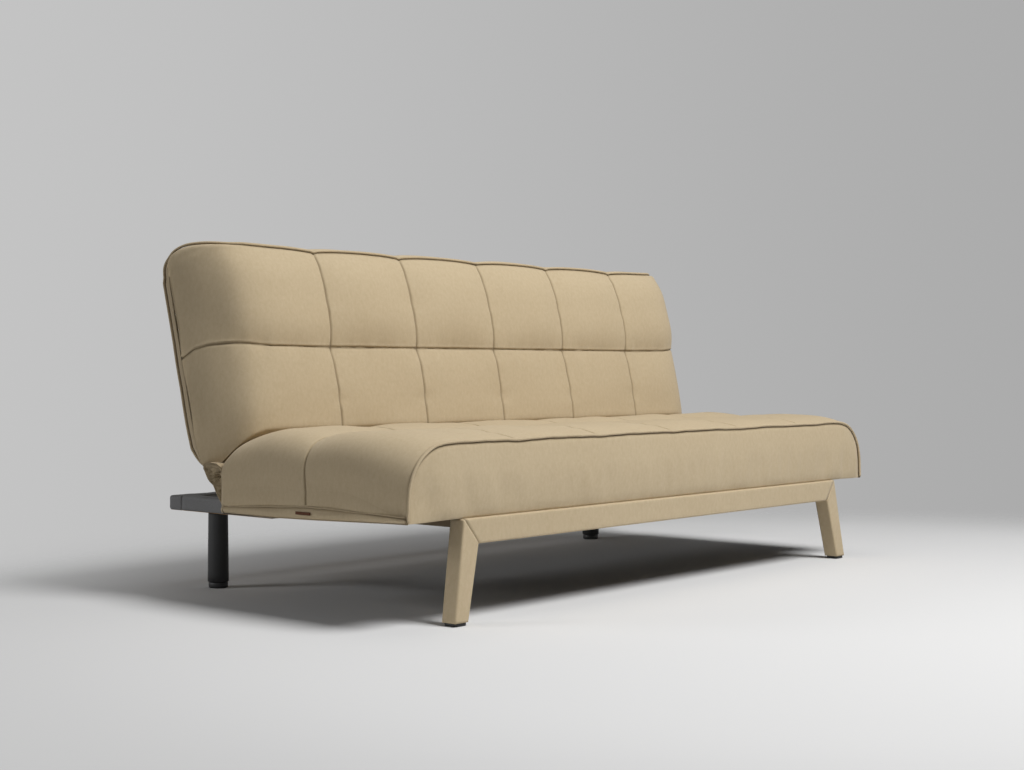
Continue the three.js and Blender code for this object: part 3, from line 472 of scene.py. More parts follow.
band = {  # how the lower edge of each end is drawn in and stitched, and how wide the painted shade in its groove is
    "from": 0.80, "fade": 0.06, "height": 0.05, "sideFrom": 0.82, "sideFade": 0.05, "sideHeight": 0.11,
    "pull": 0.014, "pullWidth": 0.10, "faceIn": 0.008, "faceFade": 0.006, "least": 0.004,
    "bulge": 0.0042, "groove": 0.0028, "grooveWidth": 0.0024, "shadeWidth": 0.0020,
}


def seatTopAt(fall):
    return seat["bottom"] + seat["edgeHeight"] * fall


def seatFrontLift(x):  # the piped edge is drawn down at each seam
    return 0.0020 * (swellAcross(x, seat["halfWidth"]) - 0.55)


def roundOff(x, reach, endShare, power):  # 1 along the seat, falling on a round to a share of it at the end
    into = np.clip((np.abs(x) - (seat["halfWidth"] - reach)) / reach, 0, 1)
    return endShare + (1 - endShare) * (1 - into**power) ** (1 / power)


def fullerBehind(x, y):  # the end's round is wide at the front and tight towards the rear
    back = np.clip((y - seat["front"]) / seat["roundReach"], 0, 1)
    back = back**2 * (3 - 2 * back)
    wanted = roundOff(x, *seat["frontRound"]) * (1 - back) + roundOff(x, *seat["rearRound"]) * back
    return wanted / roundOff(x, seat["shoulder"], seat["endShare"], seat["power"])


def seatOutline(x, fall):
    depth = seat["rear"] - seat["front"]
    top = seatTopAt(fall) + seatFrontLift(x) * fall
    height = top - seat["bottom"]
    across = float(swellAcross(x, seat["halfWidth"]))
    crownScale = seat["crown"] * fall * (0.93 + 0.07 * across)

    def crownAt(y):
        rearRow = swellAlong(y, seat["rowSeam"], seat["rear"])
        frontRow = swellAlong(y, seat["front"], seat["rowSeam"])
        return top + crownScale * np.where(y > seat["rowSeam"], rearRow, frontRow)

    rowStart = seat["rear"] - 0.27 * depth
    rear = [(seat["rear"] - back * depth, seat["bottom"] + up * height) for back, up in seat["rearProfile"]]
    rear += [(rowStart, float(crownAt(rowStart))), (rowStart - 0.03, float(crownAt(rowStart - 0.03)))]
    rearLine = softCurve(rear, 7)[:-8]
    topYs = np.concatenate([
        places(rowStart, seat["rowSeam"], 0.009, [seat["rowSeam"]])[:-1],
        places(seat["rowSeam"], seat["front"], 0.009, [seat["rowSeam"], seat["front"]]),
    ])
    topLine = np.stack([topYs, crownAt(topYs)], axis=1)
    into = max(abs(x) - (seat["halfWidth"] - seat["shoulder"]), 0) / seat["shoulder"]
    bulge = seat["frontBulge"] * max(1 - (into / 0.85) ** 2, 0)
    frontPoints = [(seat["front"] - out * bulge, seat["bottom"] + up * height) for out, up in seat["frontProfile"]]
    frontLine = softCurve(frontPoints, 6)[1:]
    underYs = np.linspace(seat["front"], seat["rear"], 12)[1:-1]
    underLine = np.stack([underYs, np.full(len(underYs), seat["bottom"])], axis=1)
    outline = np.concatenate([rearLine, topLine[1:], frontLine, underLine])
    marks = {"seam": len(rearLine) - 1 + int(np.argmin(np.abs(topYs - seat["rowSeam"]))),
             "frontEdge": len(rearLine) + len(topLine) - 2,
             "frontEnd": len(rearLine) + len(topLine) + len(frontLine) - 2}
    beyond = max(abs(x) - (seat["halfWidth"] - seat["rearCorner"]), 0) / seat["rearCorner"]
    rearIn = seat["rearCorner"] * (1 - math.sqrt(max(1 - min(beyond, 1) ** 2, 0)))
    middle = (seat["front"] + seat["rear"]) / 2
    rearPart = np.clip((outline[:, 0] - middle) / (seat["rear"] - middle), 0, 1)
    outline[:, 0] -= rearIn * rearPart
    return outline, marks


def shapeSeatEnds(points):  # the band under each end sags; returns painted shade by how near each point is to its seam
    x, y, z = points.T
    atEnd = np.clip((np.abs(x) - band["from"]) / band["fade"], 0, 1)
    low = np.clip(1 - (z - seat["bottom"]) / band["height"], 0, 1)
    sag = np.interp(y, seat["sagYs"], seat["sags"])
    points[:, 2] -= sag * low * atEnd
    side = np.clip(1 - (z - seat["bottom"]) / band["sideHeight"], 0, 1)
    side = side * np.clip((np.abs(x) - band["sideFrom"]) / band["sideFade"], 0, 1)
    points[:, 1] -= band["pull"] * side * hump(y - seat["rowSeam"], band["pullWidth"])
    hem = np.interp(points[:, 1], seat["hemYs"], seat["hems"])
    under = hem - points[:, 2]
    atFace = np.clip((np.abs(x) - (seat["halfWidth"] - band["faceIn"])) / band["faceFade"], 0, 1)
    tuck = seat["bottom"] - sag
    share = np.clip(under / np.maximum(hem - tuck, band["least"]), 0, 1)
    swell = band["bulge"] * np.sin(share * math.pi) - band["groove"] * hump(under, band["grooveWidth"])
    points[:, 0] += np.sign(x) * atFace * swell
    # painted shade in the groove along the hem
    return hump(under, band["shadeWidth"]) * atFace


def hollowSeat(cushion):  # makes room for the foam, the frame under it and the two arms
    room = {"gap": 0.0003, "lowest": seat["bottom"] - 0.02, "armGap": 0.0008, "armDepth": 0.0058,
            "armFront": seat["rear"] - 0.012, "armRear": 0.2, "armTop": 0.2612}
    gap = room["gap"]
    low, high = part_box("seat_foam")
    centre = (low + high) / 2
    inner = bpy.data.objects["seat_foam"].data.copy()
    scale = np.array([1 + 2 * gap / side for side in high - low])
    inner.vertices.foreach_set("co", ((vertexArray(inner) - np.array(centre)) * scale + np.array(centre)).ravel())
    block = bpy.data.objects.new("seat_foam_block", inner)
    shown.collection.objects.link(block)
    cutWith(cushion, block)
    deckTop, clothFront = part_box("seat_deck")[1].z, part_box("seat_dust_cloth")[0].y
    cutAway(cushion, (low.x - gap, clothFront - 2 * gap, room["lowest"]),
            (high.x + gap, high.y + gap, deckTop + 2 * gap))
    for side in ("left", "right"):
        low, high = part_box("seat_arm_" + side)
        start, end = low.x - room["armGap"], low.x + room["armDepth"]
        if side == "right":
            start, end = high.x - room["armDepth"], high.x + room["armGap"]
        cutAway(cushion, (start, room["armFront"], room["lowest"]), (end, room["armRear"], room["armTop"]))


def makeSeatCushion():
    values, half, bottom = seat, seat["halfWidth"], seat["bottom"]
    ends = endStations(half, values["shoulder"], values["endShare"], values["capSteps"], values["capBulge"])[:-1]
    flat = places(values["shoulder"] - half, half - values["shoulder"], values["ringStep"], columns["seams"])
    stations = [(-x, fall) for x, fall in reversed(ends)] + [(x, 1.0) for x in flat] + ends
    grid, marks = sections(seatOutline, stations)
    grid[:, :, 2] = bottom + (grid[:, :, 2] - bottom) * fullerBehind(grid[:, :, 0], grid[:, :, 1])
    flatPoints = grid.reshape(-1, 3)
    x, y, z = flatPoints.T
    index = np.tile(np.arange(grid.shape[1]), grid.shape[0])
    onTop = (index < marks["frontEdge"]) & (z > bottom + 0.012)
    onFront = (index >= marks["frontEdge"]) & (index < marks["frontEnd"])
    distances = seamDistances(grid, marks, "frontEdge")
    lift, seams, knotShade, edgeFade = quilted(values, x, y, distances, z > bottom + 0.026, onTop, onTop)
    lift += values["slump"] * unevenness(flatPoints, 0.16, 7) * onTop * edgeFade
    low = np.clip(1 - (z - bottom) / 0.11, 0, 1)
    drag = unevenness(np.stack([x, x * 0, z * 0.25], axis=1), 0.055, 11)
    faceMiddle = np.sin(np.clip((z - bottom) / values["edgeHeight"], 0, 1) * math.pi)
    lift += values["dragHeight"] * drag * onFront * low * faceMiddle * 1.6
    points = flatPoints + surfaceNormals(grid).reshape(-1, 3) * lift[:, None]
    points[:, 2] = np.maximum(points[:, 2], bottom)
    hemShade = shapeSeatEnds(points)
    cushion = loft("seat_cushion", points.reshape(grid.shape))
    # painted shade along the seam grooves, the hem groove and in the tuft pits
    paintQuiltShade(cushion, np.maximum(seams, hemShade), knotShade)
    hollowSeat(cushion)
    settle(cushion, "cloth", "seat", "cloth", "seat_cover")
    print("seat cushion made", len(cushion.data.vertices))
    return cushion


def makeSeatPiping(cushion):
    ends = endStations(seat["halfWidth"], seat["shoulder"], seat["endShare"], 5, 0)[:-1]
    ends = [(min(x, seat["halfWidth"]) + piping["outset"] * (1 - fall), fall) for x, fall in ends if fall > 0.05]
    stations = [(x, 1.0) for x in np.linspace(-seat["pipeFlat"], seat["pipeFlat"], 161)]
    path = []
    for x, fall in [(-x, fall) for x, fall in reversed(ends)] + stations + ends:
        fall = fall * float(fullerBehind(x, seat["front"]))
        z = seatTopAt(fall) + seatFrontLift(x) * fall
        path.append((x, seat["front"] - piping["stand"], z - 0.001 * fall))
    path = np.array(path)
    path[:, 2] += 0.0007 * unevenness(path, 0.09, 23)
    makePiping(cushion, path, "seat")


# The back, in its own upright frame from the pivot, then leant
back = {
    "halfWidth": 0.900, "rear": 0.082, "front": -0.106, "anchor": 0.033, "top": 0.488, "crown": 0.027,
    "rowSeam": 0.252, "shoulder": 0.140, "topCorner": 0.036, "rearCorner": 0.055,
    "seamAngle": 31, "cornerLift": 0.005, "endTaper": 0.005, "lowTaper": 0.014, "seamRise": 0.022,
    "riseXs": [0.62, 0.76, 0.80, 0.832, 0.85, 0.873, 0.888, 0.898], "rises": [0, 0.1, 0.3, 0.55, 0.73, 1, 0.93, 0.35],
    "endXs": [0.66, 0.72, 0.76, 0.799, 0.830, 0.851, 0.869, 0.885, 0.896, 0.9002],
    "endFalls": [1.0, 0.998, 0.985, 0.948, 0.872, 0.735, 0.52, 0.27, 0.06, 0.0],
    "pivotY": 0.155, "pivotZ": 0.300, "lean": math.radians(14),
    "ringStep": 0.009, "seamDepth": 0.0030, "rowShare": 0.7, "seamRidge": 0.0011, "seamWidth": 0.0026,
    "tuftDepth": 0.0034, "tuftWidth": 0.016, "slump": 0.0018,
    "puckerHeight": 0.0014, "rowPucker": (0.024, 0.036, 13), "columnPucker": (0.018, 0.042, 15),
    "chamfer": [(0.21, 0.06), (0.36, 0.105), (0.46, 0.150), (0.6, 0.180), (0.74, 0.200), (0.87, 0.220), (0.97, 0.236)],
    "rearRound": [(1, 0.72), (0.93, 0.6), (0.8, 0.44), (0.62, 0.25), (0.4, 0.13), (0.15, 0.09)],
}


def leant(points):  # from the back's own frame to the sofa's
    points = np.asarray(points, float)
    turned = points.copy()
    cosine, sine = math.cos(back["lean"]), math.sin(back["lean"])
    turned[..., 1] = back["pivotY"] + points[..., 1] * cosine + points[..., 2] * sine
    turned[..., 2] = back["pivotZ"] - points[..., 1] * sine + points[..., 2] * cosine
    return turned


def backTopLift(x):
    corner = np.clip((np.abs(x) - 0.80) / 0.08, 0, 1)
    return 0.006 * (swellAcross(x, back["halfWidth"]) - 0.6) + 0.003 + back["cornerLift"] * corner**2 * (3 - 2 * corner)


def backOutline(x):
    fall, rearFall = frontFall(x), endFall(x, back["rearCorner"])
    front, rear, rowSeam = back["front"], back["rear"], back["rowSeam"]
    across = float(swellAcross(x, back["halfWidth"]))
    corner = max(abs(x) - (back["halfWidth"] - back["topCorner"]), 0) / back["topCorner"]
    top = back["top"] - back["topCorner"] * (1 - math.sqrt(max(1 - min(corner, 1) ** 2, 0))) + float(backTopLift(x))
    crown = back["crown"] * (0.62 + 0.38 * across)

    def frontAt(z):
        lower, upper = swellAlong(z, 0, rowSeam) * 0.3, swellAlong(z, rowSeam, back["top"])
        below = 2 * np.clip(1 - z / rowSeam, 0, 1) ** 1.5
        tuckIn = np.where(z < rowSeam, below, (z - rowSeam) / (back["top"] - rowSeam))
        return front * (1.08 - 0.08 * tuckIn) - crown * np.where(z < rowSeam, lower, upper)

    drop = float(np.clip(1.33 * fall - 0.26, 0.15, 1))
    lowest = 0.272 * rowSeam
    lowerFront = lowest * drop
    lower = [(b * rear, u * rear) for b, u in back["rearRound"]]
    lower += [(forward * front, up * drop * rowSeam) for forward, up in back["chamfer"]]
    lowerLine = softCurve([(rear, 0.09), *lower, (float(frontAt(lowerFront)), lowerFront),
                           (float(frontAt(lowerFront + 0.03)), lowerFront + 0.03)], 4)[4:-5]
    lowerZs = places(lowest, rowSeam, 0.009, [rowSeam])[:-1]
    lowerZs = rowSeam - (rowSeam - lowerZs) * (rowSeam - lowerFront) / (rowSeam - lowest)
    faceZs = np.concatenate([lowerZs, places(rowSeam, back["top"], 0.009, [rowSeam, back["top"]])])
    faceLine = np.stack([frontAt(faceZs), faceZs], axis=1)
    topPoints = [(front, back["top"]), (front * 0.93, back["top"] + 0.0065), (front * 0.72, back["top"] + 0.0135),
                 (front * 0.4, back["top"] + 0.0185), (0, back["top"] + 0.0175), (rear * 0.5, back["top"] + 0.010),
                 (rear * 0.85, back["top"] - 0.004), (rear, back["top"] - 0.026)]
    topLine = softCurve(topPoints, 5)[1:]
    rearZs = places(back["top"] - 0.026, 0.09, 0.011, [rowSeam])[1:-1]
    rearLine = np.stack([np.full(len(rearZs), rear), rearZs], axis=1)
    outline = np.concatenate([lowerLine, faceLine, topLine, rearLine])
    marks = {"seam": len(lowerLine) + int(np.argmin(np.abs(faceZs - rowSeam))),
             "topEdge": len(lowerLine) + len(faceLine) - 1,
             "rearEdge": len(lowerLine) + len(faceLine) + len(topLine) - 1}
    lean = np.where(outline[:, 0] > back["anchor"], rearFall, fall)
    outline[:, 0] = back["anchor"] + (outline[:, 0] - back["anchor"]) * lean
    above = outline[:, 1] > rowSeam
    share = (top - rowSeam) / (back["top"] - rowSeam)
    outline[above, 1] = rowSeam + (outline[above, 1] - rowSeam) * share
    return outline, marks


endPlan = softCurve(list(zip(back["endXs"], back["endFalls"])), 8).T


def frontFall(x):  # the front face turns into the end on a broad round
    return float(np.interp(abs(x), *endPlan))


def endFall(x, corner):  # the cushion narrows on a quarter round towards each end
    into = min(max(abs(x) - (back["halfWidth"] - corner), 0) / corner, 1)
    return math.sqrt(1 - into**2)


def tapered(points):  # each end narrows a little towards the bottom, and the row seam rises round it
    beyond = np.maximum(np.abs(points[..., 0]) - columns["outer"], 0)
    low = np.clip(1 - points[..., 2] / back["top"], 0, 1)
    shaped = points.copy()
    shaped[..., 0] -= np.sign(points[..., 0]) * beyond * low * back["endTaper"]
    under = np.clip(1 - points[..., 2] / 0.10, 0, 1) ** 2 * np.clip((np.abs(points[..., 0]) - 0.80) / 0.08, 0, 1)
    shaped[..., 0] -= np.sign(points[..., 0]) * back["lowTaper"] * under
    rise = np.interp(np.abs(points[..., 0]), back["riseXs"], back["rises"])
    shaped[..., 2] += back["seamRise"] * rise * hump(points[..., 2] - back["rowSeam"], 0.10)
    return shaped


def backStations():
    half = back["halfWidth"]
    angles = np.linspace(0, 1, 45)[1:] ** 0.9 * math.radians(89.2)
    ends = [half - back["shoulder"] * (1 - math.sin(angle)) for angle in angles]
    flat = places(-half + back["shoulder"], half - back["shoulder"], back["ringStep"], columns["seams"])
    return [-x for x in reversed(ends)] + list(flat) + ends


def makeBackCushion():
    values = back
    grid, marks = sections(backOutline, [(x,) for x in backStations()])
    flatPoints = grid.reshape(-1, 3)
    x, y, z = flatPoints.T
    index = np.tile(np.arange(grid.shape[1]), grid.shape[0])
    onFront = (index <= marks["topEdge"]) & (y < values["anchor"] + 0.001) & (z > 0.02)
    up = np.clip((z - 0.07) / 0.04, 0, 1)
    distances = seamDistances(grid, marks, "topEdge")
    lift, seams, knotShade, edgeFade = quilted(values, x, z, distances, onFront, onFront, onFront * up)
    slump = unevenness(flatPoints, 0.17, 17)
    slump = np.where(index > marks["rearEdge"], 0.15 + 0.4 * np.abs(slump), slump)
    lift += values["slump"] * slump * edgeFade * up
    normals = -surfaceNormals(grid)  # this outline runs the other way round
    points = flatPoints + normals.reshape(-1, 3) * lift[:, None]
    cushion = loft("back_cushion", leant(tapered(points.reshape(grid.shape))))
    # painted shade along the seam grooves and in the tuft pits
    paintQuiltShade(cushion, seams, knotShade)
    settle(cushion, "cloth", "back", "cloth", "back_cover", "back_panel")
    print("back cushion made", len(cushion.data.vertices))
    return cushion


def makeBackPiping(cushion):
    xs = np.array(backStations())
    outline, marks = backOutline(0.0)
    count, top, rear = len(outline), marks["topEdge"], marks["rearEdge"]
    surface = vertexArray(cushion.data).reshape(len(xs), count, 3)
    lifted = surface - piping["stand"] * surfaceNormals(surface)

    def onSurface(x, station):
        row = np.interp(x, xs, np.arange(len(xs)))
        i, j = min(int(row), len(xs) - 2), int(station)
        across, along = row - i, station - j
        near, far = (lifted[k, j % count] * (1 - along) + lifted[k, (j + 1) % count] * along for k in (i, i + 1))
        return near * (1 - across) + far * across

    side = back["halfWidth"] - back["rearCorner"] * (1 - math.cos(math.radians(back["seamAngle"])))
    climb = [(0.008, count + 17), (0.003, count + 11), (0.0, count + 5)]
    climb += [(0.0, station) for station in range(count, rear + 4, -5)]
    climb += [(0.0, rear + 1), (0.003, rear - 7), (0.010, rear - 14), (0.022, rear - 20), (0.040, rear - 24),
              (0.065, rear - 27), (0.095, rear - 30), (0.130, rear - 33), (0.165, top + 0.5), (0.200, top)]
    start = [(inward - side, station) for inward, station in climb]
    end = [(-x, station) for x, station in reversed(start)]
    flat = [(x, top) for x in np.linspace(start[-1][0], end[0][0], 118)[1:-1]]
    trace = np.concatenate([softCurve(start + flat[:2], 6)[:-12], flat, softCurve(flat[-2:] + end, 6)[12:]])
    makePiping(cushion, np.array([onSurface(x, station) for x, station in trace]), "back")


def makeBackPadding():  # the foam block, rounded where the cushion's face turns into its ends
    block = {"half": 0.8447, "front": -0.0857, "rear": 0.0301, "bottom": 0.062, "top": 0.4757,
             "step": 0.0303, "setBack": 0.0468, "endLength": 0.0418, "endDrop": 0.0199,
             "clear": 0.013, "underFront": -0.015}
    rings = []
    for x in np.linspace(-block["half"], block["half"], 121):
        outline, marks = backOutline(x)
        chamferStart = int(np.argmax(outline[:marks["seam"], 0] < block["underFront"]))
        face = outline[chamferStart:marks["topEdge"]]
        into = max(abs(x) - (block["half"] - block["endLength"]), 0) / block["endLength"]
        vs = np.linspace(block["bottom"], block["top"] - block["endDrop"] * into, 25)
        slope = block["front"] + block["setBack"] * np.clip(1 - (vs - block["bottom"]) / block["step"], 0, 1)
        ws = np.maximum(slope, np.interp(vs, face[:, 1], face[:, 0]) + block["clear"])
        rearSide = np.column_stack([np.full(len(vs), block["rear"]), vs[::-1]])
        section = np.concatenate([np.column_stack([ws, vs]), rearSide])
        rings.append(np.column_stack([np.full(len(section), x), section]))
    settle(loft("back_padding", leant(np.array(rings)), smooth=False), "foam", "back", "foam", "back_foam")


# The base: a cloth-covered front rail and legs, felt rails behind, and the rear legs
base = {
    "top": 0.216, "halfWidth": 0.755, "railHeight": 0.054, "railDepth": 0.040, "railFront": -0.479,
    "wall": 0.003, "legTopOuter": 0.7505, "legTopInner": 0.708, "legFootOuter": 0.7885, "legFootWidth": 0.041,
    "legLean": 0.011, "legBottom": 0.0073, "edgeRound": 0.0045, "mitreGap": 0.00015, "clothLump": 0.0005,
}


def roundedSection(low, high, radius, perCorner=5, perSide=8):  # points round a box section, from (low, low)
    (a0, b0), (a1, b1) = low, high
    ra, rb = radius
    corners = [(a1 - ra, b0 + rb, -90), (a1 - ra, b1 - rb, 0), (a0 + ra, b1 - rb, 90), (a0 + ra, b0 + rb, 180)]

    def onCorner(k, turn):
        a, b, start = corners[k % 4]
        angle = math.radians(start + turn)
        return np.array([a + ra * math.cos(angle), b + rb * math.sin(angle)])

    points = []
    for k in range(4):
        points += [onCorner(k, 90 * step / perCorner) for step in range(perCorner + 1)]
        begin, end = points[-1], onCorner(k + 1, 0)
        points += [begin + (end - begin) * (step / perSide) for step in range(1, perSide)]
    return np.array(points)


def mitreX(z):  # where the rail's end stands at a height
    share = (base["top"] - z) / base["railHeight"]
    return base["legTopOuter"] + (base["legTopInner"] - base["legTopOuter"]) * share


def makeRailCover():
    zs = (base["top"] - base["railHeight"], base["top"])
    ys = (base["railFront"], base["railFront"] + base["railDepth"])

    def rings(wall, rounding):
        section = roundedSection((ys[0] + wall, zs[0] + wall), (ys[1] - wall, zs[1] - wall), (rounding,) * 2)
        return np.array([
            [(share * (mitreX(z) - base["mitreGap"]), y, z) for y, z in section]
            for share in np.linspace(-1, 1, 121)
        ])

    outer = rings(0, base["edgeRound"])
    flat = outer.reshape(-1, 3)
    lumps = base["clothLump"] * unevenness(flat, 0.07, 31)
    ends = np.clip((base["legTopInner"] - np.abs(flat[:, 0])) / 0.03, 0, 1)
    flat[:, 1] += lumps * ends * np.sign(ys[0] + base["railDepth"] / 2 - flat[:, 1])
    cover = sleeve("rail_cover", flat.reshape(outer.shape), rings(base["wall"], 0.001))
    settle(cover, "cloth", "base", "cloth", "front_rail_cover")


def makeLegCover(sign, side):
    ys = (base["railFront"], base["railFront"] + base["railDepth"])
    footInner = base["legFootOuter"] - base["legFootWidth"]
    top = np.array([[base["legTopOuter"], base["top"]], [base["legTopInner"], base["top"] - base["railHeight"]]])
    foot = np.array([[base["legFootOuter"], base["legBottom"]], [footInner, base["legBottom"]]])

    def rings(wall, rounding):
        made = []
        for t in np.linspace(0, 1, 41):
            outer, inner = top * (1 - t) + foot * t
            span = np.linalg.norm(outer - inner)
            clear = wall / span
            section = roundedSection((clear, ys[0] + wall), (1 - clear, ys[1] - wall), (rounding / span, rounding))
            ring = []
            for share, y in section:
                x, z = inner + (outer - inner) * share
                shift = base["mitreGap"] * (1 - t)
                forward = base["legLean"] * (base["top"] - z) / base["top"]
                ring.append((sign * (x + shift), y - forward, z - shift))
            made.append(ring)
        return np.array(made)

    cover = sleeve("leg_cover_" + side, rings(0, base["edgeRound"]), rings(base["wall"], 0.001))
    settle(cover, "cloth", "base", "cloth", "front_leg_cover_" + side)


def makeRoundLeg(sign, side):
    legLow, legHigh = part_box("rear_leg_" + side)
    footLow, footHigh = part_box("rear_foot_" + side)
    x, y = (legLow.x + legHigh.x) / 2, (legLow.y + legHigh.y) / 2

    def turned(name, profile, sides=48):
        angles = np.arange(sides) * 2 * math.pi / sides
        return loft(name, [[(x + r * math.cos(a), y + r * math.sin(a), z) for a in angles] for r, z in profile])

    bottom, top, footTop = legLow.z, legHigh.z, footHigh.z
    legProfile = [(0.022, bottom), (0.0242, bottom + 0.0006), (0.025, bottom + 0.002), (0.0248, bottom + 0.02),
                  (0.0232, top - 0.004), (0.023, top - 0.001), (0.0224, top)]
    footProfile = [(0.018, 0.0), (0.0210, 0.0003), (0.0226, 0.0016), (0.023, 0.003),
                   (0.023, footTop - 0.001), (0.0224, footTop)]
    settle(turned("round_leg_" + side, legProfile), "blackLeg", "base", "black_plastic", "rear_leg_" + side)
    settle(turned("round_foot_" + side, footProfile), "blackPlastic", "base", "black_plastic", "rear_foot_" + side)


def makeGlide(side):
    low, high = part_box("front_glide_" + side)
    section = roundedSection((low.x, low.y), (high.x, high.y), (0.006, 0.006))
    middle = np.array([(low.x + high.x) / 2, (low.y + high.y) / 2])
    rings = []
    for share, z in ((0.9, 0.0), (0.97, 0.0004), (1.0, 0.0014), (1.0, high.z - 0.0006), (0.98, high.z)):
        ring = middle + (section - middle) * share
        rings.append(np.column_stack([ring, np.full(len(ring), z)]))
    settle(loft("glide_" + side, rings), "blackPlastic", "base", "black_plastic", "front_glide_" + side)


felt = {"wall": 0.004, "edgeRound": 0.007, "lump": 0.0011, "step": 0.012}


def makeFeltRail(name):
    low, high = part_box("base_felt_" + name)
    along, across = (0, 1) if name == "rear" else (1, 0)
    section = roundedSection((low[across], low.z), (high[across], high.z), (felt["edgeRound"],) * 2, 5, 10)
    middle = np.array([(low[across] + high[across]) / 2, (low.z + high.z) / 2])
    length = high[along] - low[along]
    shares = np.linspace(0, 1, int(length / felt["step"]))
    inner = [(low[along] + length * s, 1.0) for s in shares if 0.012 < length * s < length - 0.012]
    turn = [(0.0, 0.80), (0.0006, 0.88), (0.002, 0.94), (0.0045, 0.985), (0.008, 1.0)]
    stations = [(low[along] + d, w) for d, w in turn] + inner
    if name == "rear":
        stations += [(high[along] - d, w) for d, w in reversed(turn)]
    else:
        stations.append((high[along], 1.0))
    rings = []
    for place, scale in stations:
        ring = middle + (section - middle) * scale
        full = np.empty((len(ring), 3))
        full[:, along], full[:, across], full[:, 2] = place, ring[:, 0], ring[:, 1]
        rings.append(full)
    grid = np.array(rings)
    flat = grid.reshape(-1, 3)
    centre = np.zeros(3)
    centre[across], centre[2] = middle
    outward = flat - centre
    outward[:, along] = 0
    outward /= np.maximum(np.linalg.norm(outward, axis=1)[:, None], 1e-6)
    lumps = np.clip(felt["lump"] * (unevenness(flat, 0.045, 51) - 1.0), -0.0024, -0.0002)
    flat += outward * (lumps * np.clip((flat[:, 2] - low.z) / 0.012, 0, 1))[:, None]
    piece = loft("felt_" + name, flat.reshape(grid.shape))
    coreLow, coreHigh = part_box("base_rail_" + name)
    gap = 0.0003
    cutLow, cutHigh = np.array(coreLow) - gap, np.array(coreHigh) + gap
    cutLow[2] -= 0.05
    if name != "rear":
        cutHigh[1] += 0.05
    cutAway(piece, cutLow, cutHigh)
    settle(piece, "felt", "base", "felt", "base_felt_" + name)


# Cloth gathered between the seat's rear and the back's lower end
gather = {
    "outer": [(0, 1), (0.17, 0.86), (0.43, 0.67), (0.68, 0.46), (0.87, 0.26), (1, 0.03)],
    "inner": [(1.0, -0.10), (0.62, -0.17), (0.27, -0.14), (0, -0.02)],
    "depth": 0.063, "height": 0.078, "setback": 0.0327, "foldDepth": 0.0085, "step": 0.0016,
    "endRings": 22, "endFold": 0.012, "endSink": 0.016, "endHeight": 0.0075,
}


def crumpleEnd(grid, depth, atStart, middle):  # adds ever smaller rings that close an end in small folds, with painted shade in the deeper crumples
    last = grid[0] if atStart else grid[-1]
    centre = np.array([last[0, 0], *middle])
    sign = -1 if atStart else 1
    rings, shades = [], []
    for share in np.linspace(0, 1, gather["endRings"])[1:-1]:
        ring = last + (centre - last) * share
        fold = 1 - 2 * np.abs(unevenness(ring, gather["endFold"], 65, 12, (0, 0.6, 1.3)))
        fade = math.sin(min(share * 3, 1) * math.pi / 2)
        ring[:, 0] -= sign * (gather["endSink"] * share + gather["endHeight"] * fade * (0.5 - 0.5 * fold))
        rings.append(ring)
        # painted shade, darker in the deeper crumples
        shades.append(gather["foldDepth"] * (1.5 - 0.7 * fold))
    extra, shade = np.array(rings), np.concatenate(shades)
    if atStart:
        return np.concatenate([extra[::-1], grid]), np.concatenate([*reversed(shades), depth])
    return np.concatenate([grid, extra]), np.concatenate([depth, shade])


def makeGather(side):
    low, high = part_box("gather_" + side)
    pivotY, pivotZ = back["pivotY"], back["pivotZ"]

    def toPoint(rear, down):
        return pivotY - gather["setback"] + rear * gather["depth"], pivotZ - down * gather["height"]

    outer = softCurve([toPoint(*p) for p in gather["outer"]], 5)
    inner = np.array([toPoint(*p) for p in gather["inner"]])
    outline = np.concatenate([outer, inner])
    middle = np.array(toPoint(0.33, 0.26))
    step = gather["step"] if side != "middle" else gather["step"] * 2.4
    xs = np.linspace(low.x, high.x, int((high.x - low.x) / step))
    grid = np.empty((len(xs), len(outline), 3))
    grid[:, :, 0] = xs[:, None]
    grid[:, :, 1:] = outline[None]
    flat = grid.reshape(-1, 3)
    count = len(outer)
    station = np.tile(np.arange(len(outline)), len(xs))
    along = np.clip(station / (count - 1), 0, 1)
    sway = 0.004 * unevenness(np.stack([flat[:, 0] * 0, along * 0.08, flat[:, 0]], axis=1), 0.05, 61)
    folds = unevenness(np.stack([flat[:, 0] + sway, along * 0.004, along * 0], axis=1), 0.017, 62)
    creases = unevenness(np.stack([flat[:, 0] * 0.5, along * 0.06, along * 0], axis=1), 0.022, 63)
    free = np.sin(np.clip(along, 0, 1) * math.pi) ** 0.5 * (station < count)
    depth = gather["foldDepth"] * np.clip(0.5 - 0.55 * folds - 0.22 * creases, 0, 1.25) * free
    inward = np.zeros_like(flat)
    inward[:, 1:] = middle - flat[:, 1:]
    inward /= np.maximum(np.linalg.norm(inward, axis=1)[:, None], 1e-6)
    flat += inward * depth[:, None]
    # painted shade: the hidden inner side of the gather is marked darkest
    depth[station >= count] = 1.6 * gather["foldDepth"]
    if side != "middle":  # the open end is closed by crumpled cloth
        grid, depth = crumpleEnd(grid, depth, side == "left", middle)
    piece = loft("gathered_cloth_" + side, grid)
    # painted shade, darker in the deeper folds
    paintShade(piece, np.clip(depth / gather["foldDepth"] - 0.55, 0, 1) * 0.5)
    settle(piece, "cloth", None, "cloth", "gather_" + side)
    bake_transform(piece)


